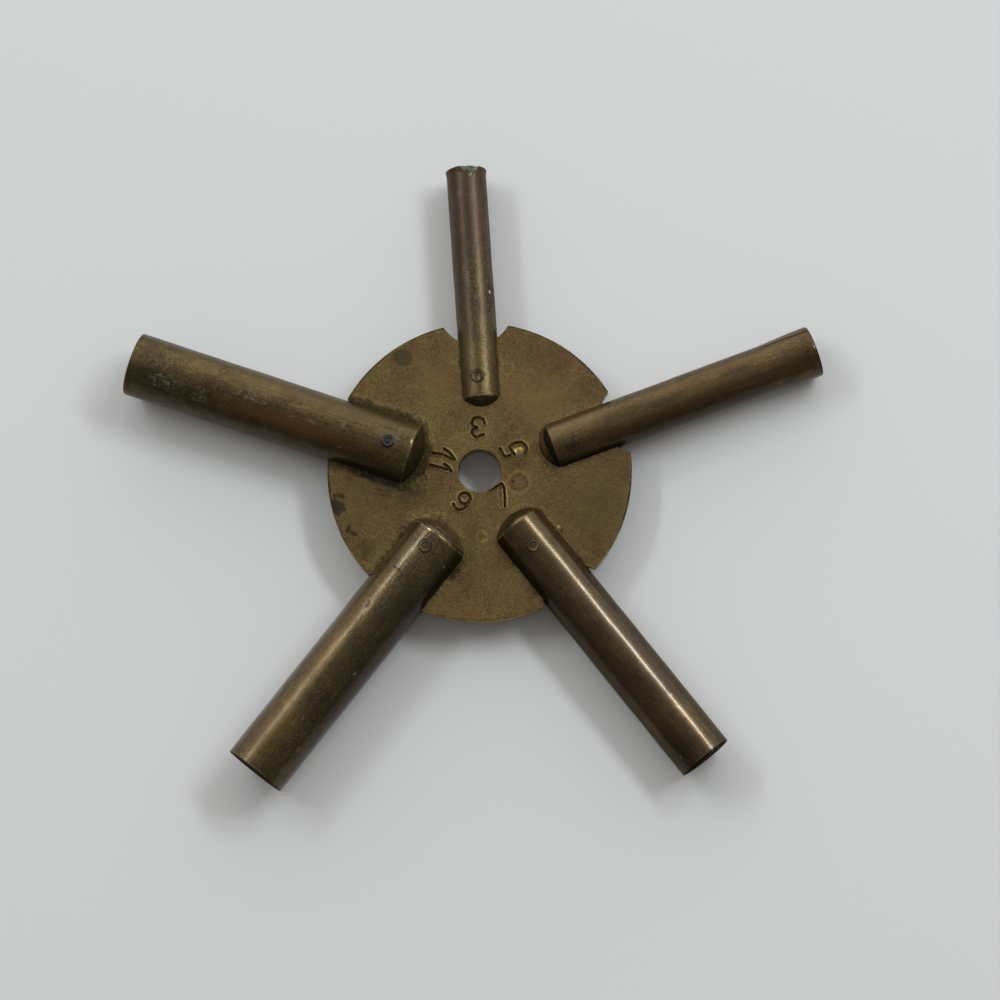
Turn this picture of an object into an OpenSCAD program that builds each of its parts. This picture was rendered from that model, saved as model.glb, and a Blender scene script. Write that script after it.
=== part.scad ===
// Star-shaped winding key for clocks. A flat hub disc carries five round arms
// of graded thickness. Each arm is slotted over the disc, seats in a notch in
// its rim, is held by one rivet and ends in a square socket for a winding square.
// Millimetres. The origin is the centre of the hub hole, half way through the
// disc. +Z is along the hole, and the arm for the largest size points along +X.

/* [Hub disc] */
// Diameter of the disc
disc_d = 38; // [34:0.5:42]
// Thickness of the disc
disc_t = 1.6; // [1.2:0.1:2.2]
// Diameter of the centre hole
hole_d = 5.3; // [3:0.1:8]
// Radius of the round notch in the rim under each arm
notch_r = 4.7; // [4.4:0.1:5.4]
// Distance of a notch's centre outside the rim
notch_out = 1.9; // [1.2:0.1:2.6]

/* [Rivets] */
// Diameter of a rivet
rivet_d = 1.6; // [1:0.1:2]
// Radius of the circle that the rivets stand on
rivet_circle_r = 12; // [11.5:0.1:14]
// Height by which a rivet's ends stand proud of its arm
rivet_proud = 0.05; // [0:0.01:0.2]

/* [Sockets] */
// Width across flats of a socket for size 0
size_zero = 2.25; // [2:0.05:2.35]
// Growth of that width from one size to the next
size_step = 0.25; // [0.2:0.01:0.27]
// Depth of a square socket
socket_depth = 12; // [8:0.5:15]
// Depth of the round drilling left below the square
drill_depth = 2; // [1:0.5:4]
// Amount by which the drilling is narrower than the square
drill_under = 0.2; // [0.1:0.05:0.5]
// Included angle of the drilling's point
drill_angle = 118; // [90:1:140]
// Chamfer round the mouth end of a rod
mouth_chamfer = 0.2; // [0.05:0.05:0.3]

/* [Clearances] */
// Gap between the disc and each face of an arm's slot
slot_gap = 0.03; // [0.01:0.01:0.15]
// Gap between the end of a slot and the notch that it seats in
seat_gap = 0.05; // [0.01:0.01:0.2]
// Gap round a rivet in its holes
rivet_gap = 0.02; // [0.01:0.01:0.1]

/* [Arm 3] */
// Key size, which sets the width of the socket
arm3_size = 3; // [0:1:3]
// Diameter of the rod
arm3_d = 5; // [4.8:0.1:6]
// Distance from the hub's centre to the edge of the domed end
arm3_start = 9.4; // [8.6:0.1:10]
// Length of the rod from that edge to the mouth
arm3_length = 29.9; // [27:0.1:34]
// Rise of the dome
arm3_dome = 1.3; // [0.6:0.1:2]
// Turn away from even spacing, in degrees
arm3_skew = 4.8; // [-6:0.1:6]
// Sideways shift of the rod's middle line from the hub's centre
arm3_shift = -0.9; // [-1.5:0.1:1.5]
// Sideways shift of the rivet from the rod's middle line
arm3_rivet_side = 0.4; // [-1:0.1:1]
// Turn of the square about the rod, in degrees
arm3_roll = 45; // [0:5:45]

/* [Arm 5] */
// Key size, which sets the width of the socket
arm5_size = 5; // [2:1:6]
// Diameter of the rod
arm5_d = 6; // [5.6:0.1:7]
// Distance from the hub's centre to the edge of the domed end
arm5_start = 9.7; // [8.8:0.1:10.2]
// Length of the rod from that edge to the mouth
arm5_length = 35; // [32:0.1:39]
// Rise of the dome
arm5_dome = 1.7; // [0.6:0.1:2.2]
// Turn away from even spacing, in degrees
arm5_skew = 3.3; // [-6:0.1:6]
// Sideways shift of the rod's middle line from the hub's centre
arm5_shift = -0.3; // [-1.5:0.1:1.5]
// Sideways shift of the rivet from the rod's middle line
arm5_rivet_side = -1; // [-1.2:0.1:1.2]
// Turn of the square about the rod, in degrees
arm5_roll = 0; // [0:5:45]

/* [Arm 7] */
// Key size, which sets the width of the socket
arm7_size = 7; // [4:1:8]
// Diameter of the rod
arm7_d = 7; // [6.6:0.1:8]
// Distance from the hub's centre to the edge of the domed end
arm7_start = 8.4; // [8:0.1:9.8]
// Length of the rod from that edge to the mouth
arm7_length = 37; // [34:0.1:41]
// Rise of the dome
arm7_dome = 1.7; // [0.6:0.1:2.4]
// Turn away from even spacing, in degrees
arm7_skew = 3.2; // [-4:0.1:6]
// Sideways shift of the rod's middle line from the hub's centre
arm7_shift = -0.5; // [-1:0.1:1.5]
// Sideways shift of the rivet from the rod's middle line
arm7_rivet_side = -0.4; // [-1.2:0.1:1.2]
// Turn of the square about the rod, in degrees
arm7_roll = 0; // [0:5:45]

/* [Arm 9] */
// Key size, which sets the width of the socket
arm9_size = 9; // [6:1:10]
// Diameter of the rod
arm9_d = 8; // [7.6:0.1:8.6]
// Distance from the hub's centre to the edge of the domed end
arm9_start = 9.9; // [9.2:0.1:10.4]
// Length of the rod from that edge to the mouth
arm9_length = 36.7; // [33:0.1:41]
// Rise of the dome
arm9_dome = 2.1; // [0.6:0.1:2.6]
// Turn away from even spacing, in degrees
arm9_skew = -1.2; // [-3:0.1:3]
// Sideways shift of the rod's middle line from the hub's centre
arm9_shift = 1.3; // [0:0.1:1.6]
// Sideways shift of the rivet from the rod's middle line
arm9_rivet_side = -0.3; // [-1.2:0.1:1.2]
// Turn of the square about the rod, in degrees
arm9_roll = 0; // [0:5:45]

/* [Arm 11] */
// Key size, which sets the width of the socket
arm11_size = 11; // [8:1:12]
// Diameter of the rod
arm11_d = 8; // [7.8:0.1:8.6]
// Distance from the hub's centre to the edge of the domed end
arm11_start = 8.8; // [8.2:0.1:9.8]
// Length of the rod from that edge to the mouth
arm11_length = 37; // [34:0.1:41]
// Rise of the dome
arm11_dome = 1.5; // [0.6:0.1:2.4]
// Turn away from even spacing, in degrees
arm11_skew = 0; // [-4:0.1:3]
// Sideways shift of the rod's middle line from the hub's centre
arm11_shift = 0.7; // [-1:0.1:1]
// Sideways shift of the rivet from the rod's middle line
arm11_rivet_side = -0.1; // [-1.2:0.1:1.2]
// Turn of the square about the rod, in degrees
arm11_roll = 0; // [0:5:45]

/* [Hidden] */

$fn = 96;
cut = 1; // how far a cut runs past the face that it opens

arm_step = -360 / 5; // the arms follow clockwise, seen from above
notch_centre = disc_d / 2 + notch_out;
slot_t = disc_t + 2 * slot_gap;

disc_colour = [0.45, 0.36, 0.20];
arm_colour = [0.36, 0.28, 0.17];
rivet_colour = [0.42, 0.36, 0.25];

// An arm is [size, rod diameter, start, length, dome, direction, shift, rivet side, roll].
arm_3 = [
    arm3_size, arm3_d, arm3_start, arm3_length, arm3_dome,
    arm_step + arm3_skew, arm3_shift, arm3_rivet_side, arm3_roll
];
arm_5 = [
    arm5_size, arm5_d, arm5_start, arm5_length, arm5_dome,
    2 * arm_step + arm5_skew, arm5_shift, arm5_rivet_side, arm5_roll
];
arm_7 = [
    arm7_size, arm7_d, arm7_start, arm7_length, arm7_dome,
    3 * arm_step + arm7_skew, arm7_shift, arm7_rivet_side, arm7_roll
];
arm_9 = [
    arm9_size, arm9_d, arm9_start, arm9_length, arm9_dome,
    4 * arm_step + arm9_skew, arm9_shift, arm9_rivet_side, arm9_roll
];
arm_11 = [
    arm11_size, arm11_d, arm11_start, arm11_length, arm11_dome,
    arm11_skew, arm11_shift, arm11_rivet_side, arm11_roll
];
arms = [arm_3, arm_5, arm_7, arm_9, arm_11];

function across_flats(arm) = size_zero + size_step * arm[0];
function rod_d(arm) = arm[1];
function rod_start(arm) = arm[2];
function rod_length(arm) = arm[3];
function dome_rise(arm) = arm[4];
function direction(arm) = arm[5];
function shift(arm) = arm[6];
function rivet_side(arm) = arm[7];
function roll(arm) = arm[8];

// Radius of the ball whose cap is the dome.
function dome_ball_r(arm) = (pow(rod_d(arm) / 2, 2) + pow(dome_rise(arm), 2)) / (2 * dome_rise(arm));

// Place of the slot's end, where the slot's two corners meet the round notch.
function slot_end(arm) = notch_centre - sqrt(max(0, pow(notch_r, 2) - pow(rod_d(arm) / 2, 2))) + seat_gap;

// Place along the arm at which its rivet lies on the rivet circle.
function rivet_along(arm) = sqrt(pow(rivet_circle_r, 2) - pow(shift(arm) + rivet_side(arm), 2));

// Moves a child drawn along +X, with the rod's middle line as its axis, to its arm.
module at_arm(arm) {
    rotate([0, 0, direction(arm)])
        translate([0, shift(arm), 0])
            children();
}

// Turns a child drawn along +Z to lie along +X.
module lay_down() {
    rotate([0, 90, 0])
        children();
}

// Upright cylinder at the place of an arm's rivet.
module at_rivet(arm, d, h) {
    translate([rivet_along(arm), rivet_side(arm), 0])
        cylinder(d = d, h = h, center = true);
}

// Solid rod along +Z from its domed end to its chamfered mouth.
module rod_blank(arm) {
    r = rod_d(arm) / 2;
    end = rod_length(arm);
    low = -dome_rise(arm) - cut;
    ball_r = dome_ball_r(arm);
    ball_z = ball_r - dome_rise(arm);
    difference() {
        rotate_extrude()
            polygon([
                [0, low], [r, low], [r, end - mouth_chamfer],
                [r - mouth_chamfer, end], [0, end]
            ]);
        difference() {
            translate([0, 0, low - cut])
                cylinder(r = r + cut, h = ball_z - low + cut);
            translate([0, 0, ball_z])
                sphere(r = ball_r);
        }
    }
}

// Square socket and the pointed drilling below it, cut from the mouth of a rod along +Z.
module socket_cut(arm) {
    width = across_flats(arm);
    drill_r = (width - drill_under) / 2;
    point = drill_r / tan(drill_angle / 2);
    floor_z = rod_length(arm) - socket_depth;
    rotate([0, 0, roll(arm)])
        translate([-width / 2, -width / 2, floor_z])
            cube([width, width, socket_depth + cut]);
    translate([0, 0, floor_z - drill_depth])
        rotate_extrude()
            polygon([[0, -point], [drill_r, 0], [drill_r, drill_depth + cut], [0, drill_depth + cut]]);
}

// Slot that takes the disc, open at the domed end.
module slot_cut(arm) {
    from = rod_start(arm) - dome_rise(arm) - cut;
    width = rod_d(arm) + 2 * cut;
    translate([from, -width / 2, -slot_t / 2])
        cube([slot_end(arm) - from, width, slot_t]);
}

module arm(arm) {
    color(arm_colour)
        at_arm(arm)
            difference() {
                translate([rod_start(arm), 0, 0])
                    lay_down()
                        difference() {
                            rod_blank(arm);
                            socket_cut(arm);
                        }
                slot_cut(arm);
                at_rivet(arm, rivet_d + 2 * rivet_gap, rod_d(arm) + 2 * cut);
            }
}

// Rivet whose ends follow the round of its arm.
module rivet(arm) {
    color(rivet_colour)
        at_arm(arm)
            intersection() {
                at_rivet(arm, rivet_d, rod_d(arm) + 2 * cut);
                translate([rod_start(arm), 0, 0])
                    lay_down()
                        cylinder(d = rod_d(arm) + 2 * rivet_proud, h = rod_length(arm));
            }
}

module hub_disc() {
    color(disc_colour)
        difference() {
            cylinder(d = disc_d, h = disc_t, center = true);
            cylinder(d = hole_d, h = disc_t + 2 * cut, center = true);
            for (arm = arms)
                at_arm(arm) {
                    translate([notch_centre, 0, 0])
                        cylinder(r = notch_r, h = disc_t + 2 * cut, center = true);
                    at_rivet(arm, rivet_d + 2 * rivet_gap, disc_t + 2 * cut);
                }
        }
}

hub_disc();
arm(arm_3);
arm(arm_5);
arm(arm_7);
arm(arm_9);
arm(arm_11);
rivet(arm_3);  // rivet_3
rivet(arm_5);  // rivet_5
rivet(arm_7);  // rivet_7
rivet(arm_9);  // rivet_9
rivet(arm_11);  // rivet_11
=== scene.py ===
"""Five-armed winding key for clocks, in aged brass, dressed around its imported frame."""

import logging
import math
from collections.abc import Callable, Iterator, Sequence
from contextlib import contextmanager
from dataclasses import dataclass, replace
from enum import Enum

import bpy
import numpy as np
from mathutils import Euler, Matrix, Vector, noise


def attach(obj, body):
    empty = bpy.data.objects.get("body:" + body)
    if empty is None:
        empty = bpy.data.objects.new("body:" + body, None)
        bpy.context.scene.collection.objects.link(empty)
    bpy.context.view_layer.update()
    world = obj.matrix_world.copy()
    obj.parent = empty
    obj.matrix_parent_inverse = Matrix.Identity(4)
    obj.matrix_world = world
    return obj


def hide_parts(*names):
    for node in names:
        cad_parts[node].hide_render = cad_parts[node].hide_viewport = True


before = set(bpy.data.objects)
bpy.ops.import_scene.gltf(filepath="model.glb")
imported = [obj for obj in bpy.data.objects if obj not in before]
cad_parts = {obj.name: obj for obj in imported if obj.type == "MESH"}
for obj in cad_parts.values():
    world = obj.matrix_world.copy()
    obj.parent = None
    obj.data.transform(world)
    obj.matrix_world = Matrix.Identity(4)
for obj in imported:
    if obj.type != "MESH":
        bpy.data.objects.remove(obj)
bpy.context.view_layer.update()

MM = 0.001
"""Metres in a millimetre: pieces are shaped in millimetres and handed over in metres."""

Point = tuple[float, float]
Place = tuple[float, float, float]
Colour = tuple[float, float, float]
Piece = bpy.types.Object
Socket = bpy.types.NodeSocket
Sockets = dict[str, Socket]

log = logging.getLogger("winding_key")


def tint(colour: Colour) -> tuple[float, float, float, float]:
    """Turns a display colour into the linear colour that a shader takes.

    Args:
        colour: Red, green and blue from 0 to 255.

    Returns:
        Linear red, green and blue, and an alpha of 1.
    """
    def linear(level: float) -> float:
        """Undoes the display curve of one level."""
        share = level / 255.0
        return share / 12.92 if share <= 0.04045 else ((share + 0.055) / 1.055) ** 2.4

    return (*(linear(level) for level in colour), 1.0)


def ease(values: np.ndarray, low: float, high: float) -> np.ndarray:
    """Smooth step from 0 at low to 1 at high; high may be the smaller."""
    share = np.clip((values - low) / (high - low), 0.0, 1.0)
    return share * share * (3.0 - 2.0 * share)


def bump_at(distance: np.ndarray, reach: float) -> np.ndarray:
    """Bell that is 1 at no distance and fades over its reach."""
    return np.exp(-((distance / reach) ** 2))


def crumbs(points: np.ndarray, scale: float) -> np.ndarray:
    """Cloudy numbers from -1 to 1 at points, with grains of about one over the scale."""
    return np.array([noise.noise(Vector(row) * scale) for row in points])


def spaced(low: float, high: float, step: float) -> list[float]:
    """Even stations from low to high, no further apart than a step."""
    count = max(1, math.ceil((high - low) / step))
    return [low + (high - low) * i / count for i in range(count + 1)]


def turned(flat: np.ndarray, degrees: float) -> tuple[np.ndarray, np.ndarray]:
    """How far points of the plane lie along a line at so many degrees, and to the left of it."""
    ahead, across = math.cos(math.radians(degrees)), math.sin(math.radians(degrees))
    return flat @ (ahead, across), flat @ (-across, ahead)


class Axis(Enum):
    """The lines that a profile is turned about."""

    ROD = (1.0, 0.0, 0.0)
    UPRIGHT = (0.0, 0.0, 1.0)

    def place(self, along: float, radius: float) -> Vector:
        """Where a profile point (along, radius) stands before it is turned."""
        line = Vector(self.value)
        out = Vector((0.0, 0.0, 1.0)) if self is Axis.ROD else Vector((1.0, 0.0, 0.0))
        return line * along + out * radius


class Bench:
    """Hand work on meshes with operators. Its sizes are in millimetres."""

    WELD = 1e-4
    SPARE = 1.0
    """How far a cutter reaches past what it cuts."""

    @staticmethod
    def clear() -> None:
        """Deselects everything."""
        bpy.ops.object.select_all(action="DESELECT")

    @staticmethod
    def take(obj: Piece) -> None:
        """Makes one object the only one in hand."""
        Bench.clear()
        obj.select_set(True)
        bpy.context.view_layer.objects.active = obj

    @staticmethod
    @contextmanager
    def editing(
        obj: Piece, faces: Callable[[bpy.types.MeshPolygon], bool] | None = None
    ) -> Iterator[None]:
        """Opens an object in edit mode for the length of a with block.

        Args:
            obj: The object to edit.
            faces: Tells which faces to select; without it everything is selected.
        """
        Bench.take(obj)
        bpy.ops.object.mode_set(mode="EDIT")
        bpy.ops.mesh.select_all(action="SELECT" if faces is None else "DESELECT")
        if faces is not None:
            bpy.ops.mesh.select_mode(type="FACE")
            bpy.ops.object.mode_set(mode="OBJECT")
            for face in obj.data.polygons:
                face.select = faces(face)
            bpy.ops.object.mode_set(mode="EDIT")
        yield
        bpy.ops.mesh.select_mode(type="VERT")
        bpy.ops.object.mode_set(mode="OBJECT")

    @staticmethod
    def turn(name: str, profile: Sequence[Point], axis: Axis, steps: int) -> Piece:
        """Turns a profile about an axis, as on a lathe.

        Args:
            name: Name of the new object.
            profile: Points as (along the axis, radius), one after another. A profile that
                ends where it began gives a ring; one that begins and ends on the axis, a solid.
            axis: The line that it is turned about.
            steps: Facets round the axis.

        Returns:
            The closed, outward-facing object.
        """
        Bench.clear()
        bpy.ops.mesh.primitive_plane_add(size=1.0)
        obj = bpy.context.object
        obj.name = name
        spots = [axis.place(*point) for point in profile]
        with Bench.editing(obj):
            bpy.ops.mesh.merge(type="CENTER")
            bpy.ops.transform.translate(value=spots[0])
            for here, there in zip(spots, spots[1:]):
                bpy.ops.mesh.extrude_vertices_move(TRANSFORM_OT_translate={"value": there - here})
            bpy.ops.mesh.select_all(action="SELECT")
            bpy.ops.mesh.spin(steps=steps, angle=math.tau, center=(0, 0, 0), axis=axis.value)
        Bench.weld(obj)
        return obj

    @staticmethod
    def weld(obj: Piece) -> None:
        """Merges doubles, drops slivers and idle points, and turns all faces outwards."""
        with Bench.editing(obj):
            bpy.ops.mesh.remove_doubles(threshold=Bench.WELD)
            bpy.ops.mesh.dissolve_degenerate(threshold=Bench.WELD)
            bpy.ops.mesh.select_all(action="DESELECT")
        Bench.drop_idle_points(obj)
        with Bench.editing(obj):
            bpy.ops.mesh.normals_make_consistent(inside=False)

    @staticmethod
    def drop_idle_points(obj: Piece) -> None:
        """Dissolves points where only two edges meet, on a mesh with nothing selected."""
        ends = np.zeros(len(obj.data.edges) * 2, np.int32)
        obj.data.edges.foreach_get("vertices", ends)
        obj.data.vertices.foreach_set("select", np.bincount(ends, minlength=len(obj.data.vertices)) == 2)
        bpy.ops.object.mode_set(mode="EDIT")
        bpy.ops.mesh.dissolve_verts()
        bpy.ops.object.mode_set(mode="OBJECT")

    @staticmethod
    def block(low: Place, high: Place) -> Piece:
        """Adds a square block between two corners, to cut with."""
        Bench.clear()
        middle = [(a + b) / 2.0 for a, b in zip(low, high)]
        bpy.ops.mesh.primitive_cube_add(
            size=1.0, location=middle, scale=[b - a for a, b in zip(low, high)]
        )
        return bpy.context.object

    @staticmethod
    def pin(radius: float, x: float, y: float, height: float, facets: int = 64) -> Piece:
        """Adds an upright pin through the middle plane, to cut with."""
        Bench.clear()
        bpy.ops.mesh.primitive_cylinder_add(
            vertices=facets, radius=radius, depth=height, location=(x, y, 0.0)
        )
        return bpy.context.object

    @staticmethod
    def join(objects: Sequence[Piece]) -> Piece:
        """Joins objects into the first of them."""
        Bench.take(objects[0])
        for obj in objects[1:]:
            obj.select_set(True)
        bpy.ops.object.join()
        return objects[0]

    @staticmethod
    def cut(obj: Piece, cutter: Piece) -> None:
        """Cuts one object with another, which is used up."""
        Bench.take(obj)
        tool = obj.modifiers.new("cut", "BOOLEAN")
        tool.operation = "DIFFERENCE"
        tool.solver = "EXACT"
        tool.object = cutter
        bpy.ops.object.modifier_apply(modifier=tool.name)
        bpy.data.objects.remove(cutter)

    @staticmethod
    def points(obj: Piece) -> np.ndarray:
        """All points of an object's mesh, one row each."""
        flat = np.zeros(len(obj.data.vertices) * 3, np.float32)
        obj.data.vertices.foreach_get("co", flat)
        return flat.reshape(-1, 3).astype(float)

    @staticmethod
    def move_points(obj: Piece, points: np.ndarray) -> None:
        """Puts all points of an object's mesh where the rows say."""
        obj.data.vertices.foreach_set("co", points.astype(np.float32).ravel())
        obj.data.update()

    @staticmethod
    def mark(obj: Piece, name: str, values: np.ndarray) -> None:
        """Writes a number from 0 to 1 on each point, for a finish to read."""
        layer = obj.data.attributes.new(name, "FLOAT", "POINT")
        layer.data.foreach_set("value", np.clip(values, 0.0, 1.0).astype(np.float32))

    @staticmethod
    def hand_over(obj: Piece, heading: float, shift: float, crease: float) -> None:
        """Turns a piece to its heading, brings it to metres and smooths its rounds.

        Args:
            obj: The piece, drawn along +X in millimetres.
            heading: Degrees that it is turned about the hub.
            shift: Millimetres from the hub's centre to its middle line, to the left.
            crease: Degrees between faces above which an edge stays sharp.
        """
        angle = math.radians(heading)
        obj.location = Matrix.Rotation(angle, 3, "Z") @ Vector((0.0, shift * MM, 0.0))
        obj.rotation_euler = (0.0, 0.0, angle)
        obj.scale = (MM, MM, MM)
        Bench.take(obj)
        bpy.ops.object.transform_apply(location=True, rotation=True, scale=True)
        bpy.ops.object.shade_smooth_by_angle(angle=math.radians(crease))


class Nodes:
    """Lays and links nodes in one tree."""

    def __init__(self, tree: bpy.types.NodeTree) -> None:
        """Takes the tree to work in."""
        self.tree = tree

    def feed(self, socket: Socket, value: object) -> None:
        """Links a socket, or sets its value where the value is no socket."""
        if isinstance(value, Socket):
            self.tree.links.new(value, socket)
        else:
            socket.default_value = value

    def add(self, kind: str, inputs: dict | None = None, **settings: object) -> bpy.types.Node:
        """Adds a node.

        Args:
            kind: The node's type without its ShaderNode prefix.
            inputs: Values or sockets for its inputs, by name or number.
            **settings: Values for its own settings.

        Returns:
            The new node.
        """
        node = self.tree.nodes.new("ShaderNode" + kind)
        for name, value in settings.items():
            setattr(node, name, value)
        for name, value in (inputs or {}).items():
            self.feed(node.inputs[name], value)
        return node

    def group(self, tree: bpy.types.NodeTree, **inputs: object) -> bpy.types.Node:
        """Places a node group with its own values."""
        node = self.add("Group", node_tree=tree)
        for name, value in inputs.items():
            self.feed(node.inputs[name], value)
        return node

    def math(self, operation: str, a: object, b: object = 0.0) -> Socket:
        """Works out one step of arithmetic."""
        return self.add("Math", {0: a, 1: b}, operation=operation).outputs[0]

    def plus(self, value: object, mask: object, amount: object) -> Socket:
        """Adds so much of a mask to a value."""
        return self.add("Math", {0: mask, 1: amount, 2: value}, operation="MULTIPLY_ADD").outputs[0]

    def span(
        self, value: object, low: object, high: object, to_low: object = 0.0, to_high: object = 1.0
    ) -> Socket:
        """Maps the range low to high onto another, held at both ends."""
        names = {"Value": value, "From Min": low, "From Max": high, "To Min": to_low, "To Max": to_high}
        return self.add("MapRange", names, clamp=True).outputs[0]

    def blend(self, share: object, a: object, b: object, way: str = "MIX") -> Socket:
        """Mixes two colours."""
        node = self.add("Mix", {0: share, 6: a, 7: b}, data_type="RGBA", blend_type=way)
        return node.outputs[2]

    def shaded(self, colour: object, tone: object) -> Socket:
        """Multiplies a colour by a tone."""
        grey = self.add("CombineColor", {0: tone, 1: tone, 2: tone}).outputs[0]
        return self.blend(1.0, colour, grey, "MULTIPLY")

    def around_one(self, value: object, low: float, high: float, amount: object) -> Socket:
        """Maps a range onto 1 less the amount to 1 plus the amount."""
        return self.span(
            value, low, high, self.math("SUBTRACT", 1.0, amount), self.math("ADD", 1.0, amount)
        )

    def noise(self, vector: object, scale: object, detail: float = 2.0, rough: float = 0.5) -> Socket:
        """Cloudy value round 0.5."""
        names = {"Vector": vector, "Scale": scale, "Detail": detail, "Roughness": rough}
        return self.add("TexNoise", names).outputs["Fac"]

    def stretched(self, vector: object, scale: Place, turn: float = 0.0) -> Socket:
        """Stretches coordinates, turned about the upright first."""
        names = {"Vector": vector, "Scale": scale, "Rotation": (0.0, 0.0, math.radians(turn))}
        return self.add("Mapping", names).outputs[0]


class Effects:
    """Node groups that the finishes share. All coordinates are in millimetres."""

    def __init__(self) -> None:
        """Builds each effect once."""
        self.mottle = self.build(
            "patina_mottle",
            {"Vector": None, "Base": tint((90, 74, 48)), "Dark": tint((60, 50, 32)),
             "Light": tint((110, 90, 56)), "Patch": 0.3, "Grain": 2.5, "Speckle": 0.3},
            ("Color", "Tone", "Height"),
            self.lay_mottle,
        )
        self.streaks = self.build(
            "drawn_streaks", {"Vector": None, "Amount": 0.3}, ("Tone", "Height"), self.lay_streaks
        )
        self.scratches = self.build(
            "hair_scratches", {"Vector": None, "Amount": 0.3}, ("Mask",), self.lay_scratches
        )
        self.crust_and_shade = self.build(
            "crust_and_painted_shade",
            {"Vector": None, "Near": 0.0, "Amount": 1.0, "Dark": tint((42, 38, 24)),
             "Pale": tint((98, 86, 46))},
            ("Color", "Mask", "Height"),
            self.lay_crust_and_shade,
        )
        self.bloom = self.build(
            "verdigris",
            {"Vector": None, "Growth": 0.0, "Dark": tint((44, 50, 38)), "Middle": tint((92, 108, 88)),
             "Pale": tint((178, 188, 168))},
            ("Color", "Mask", "Height"),
            self.lay_bloom,
        )
        self.rub = self.build(
            "rubbed_edge", {"Vector": None, "Edge": 0.0, "Amount": 1.0}, ("Mask",), self.lay_rub
        )
        self.spot = self.build(
            "soft_spot",
            {"Around": None, "Cloud": 0.5, "Ring": 0.0, "Fray": 0.3, "Soft": 0.3, "Strength": 1.0},
            ("Mask",),
            self.lay_spot,
        )

    @staticmethod
    def build(
        name: str,
        inputs: dict[str, object],
        outputs: Sequence[str],
        lay: Callable[[Nodes, bpy.types.Node], Sockets],
    ) -> bpy.types.NodeTree:
        """Makes one node group.

        Args:
            name: The group's name.
            inputs: Input names with their defaults: None for a vector, a tuple for a colour.
            outputs: Output names: Color is a colour, all others are numbers.
            lay: Lays the nodes and returns the socket for each output.

        Returns:
            The group's tree.
        """
        tree = bpy.data.node_groups.new(name, "ShaderNodeTree")
        for label, value in inputs.items():
            kind = "NodeSocketVector" if value is None else "NodeSocketFloat"
            kind = "NodeSocketColor" if isinstance(value, tuple) else kind
            socket = tree.interface.new_socket(label, in_out="INPUT", socket_type=kind)
            if value is not None:
                socket.default_value = value
        for label in outputs:
            kind = "NodeSocketColor" if label == "Color" else "NodeSocketFloat"
            tree.interface.new_socket(label, in_out="OUTPUT", socket_type=kind)
        start = tree.nodes.new("NodeGroupInput")
        end = tree.nodes.new("NodeGroupOutput")
        for label, socket in lay(Nodes(tree), start).items():
            tree.links.new(socket, end.inputs[label])
        return tree

    @staticmethod
    def lay_mottle(lay: Nodes, start: bpy.types.Node) -> Sockets:
        """Patches of dark and light patina with a fine speckle over them."""
        take = start.outputs
        patch = lay.noise(take["Vector"], take["Patch"], 5.0, 0.62)
        middle = lay.noise(take["Vector"], lay.math("MULTIPLY", take["Patch"], 4.3), 3.0, 0.6)
        cloud = lay.plus(lay.math("MULTIPLY", patch, 0.65), middle, 0.35)
        dark = lay.blend(lay.span(cloud, 0.5, 0.34, 0.0, 0.9), take["Base"], take["Dark"])
        light = lay.blend(lay.span(cloud, 0.5, 0.66, 0.0, 0.9), dark, take["Light"])
        grain = lay.noise(take["Vector"], take["Grain"], 2.0, 0.7)
        level = lay.around_one(grain, 0.3, 0.7, take["Speckle"])
        return {"Color": lay.shaded(light, level), "Tone": cloud, "Height": grain}

    @staticmethod
    def lay_streaks(lay: Nodes, start: bpy.types.Node) -> Sockets:
        """Faint lines along a drawn rod."""
        take = start.outputs
        fine = lay.noise(lay.stretched(take["Vector"], (0.12, 2.6, 2.6)), 1.0, 3.0, 0.6)
        return {"Tone": lay.around_one(fine, 0.32, 0.68, take["Amount"]), "Height": fine}

    @staticmethod
    def lay_scratches(lay: Nodes, start: bpy.types.Node) -> Sockets:
        """Hair lines in a few directions."""
        take = start.outputs
        total: object = 0.0
        for turn in (23.0, 78.0, 131.0):
            lines = lay.noise(lay.stretched(take["Vector"], (0.16, 3.1, 1.0), turn), 1.0, 1.0)
            off = lay.math("ABSOLUTE", lay.math("SUBTRACT", lines, 0.62))
            total = lay.math("MAXIMUM", total, lay.span(off, 0.004, 0.02, 1.0, 0.0))
        gaps = lay.span(lay.noise(take["Vector"], 0.35, 2.0), 0.48, 0.62)
        shown = lay.math("MULTIPLY", total, gaps)
        return {"Mask": lay.math("MULTIPLY", shown, take["Amount"])}

    @staticmethod
    def lay_crust_and_shade(lay: Nodes, start: bpy.types.Node) -> Sockets:
        """Grainy dirt that gathers where two pieces meet, also laid as painted shade on the arms' domes."""
        take = start.outputs
        grains = lay.noise(take["Vector"], 2.8, 3.0, 0.7)
        cloud = lay.noise(take["Vector"], 0.5, 2.0, 0.6)
        broken = lay.plus(lay.math("MULTIPLY", grains, 1.1), cloud, 1.3)
        mask = lay.span(lay.math("ADD", broken, take["Near"]), 1.5, 1.9)
        return {
            "Color": lay.blend(lay.span(grains, 0.46, 0.66), take["Dark"], take["Pale"]),
            "Mask": lay.math("MULTIPLY", mask, take["Amount"]),
            "Height": lay.math("MULTIPLY", mask, grains),
        }

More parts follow.
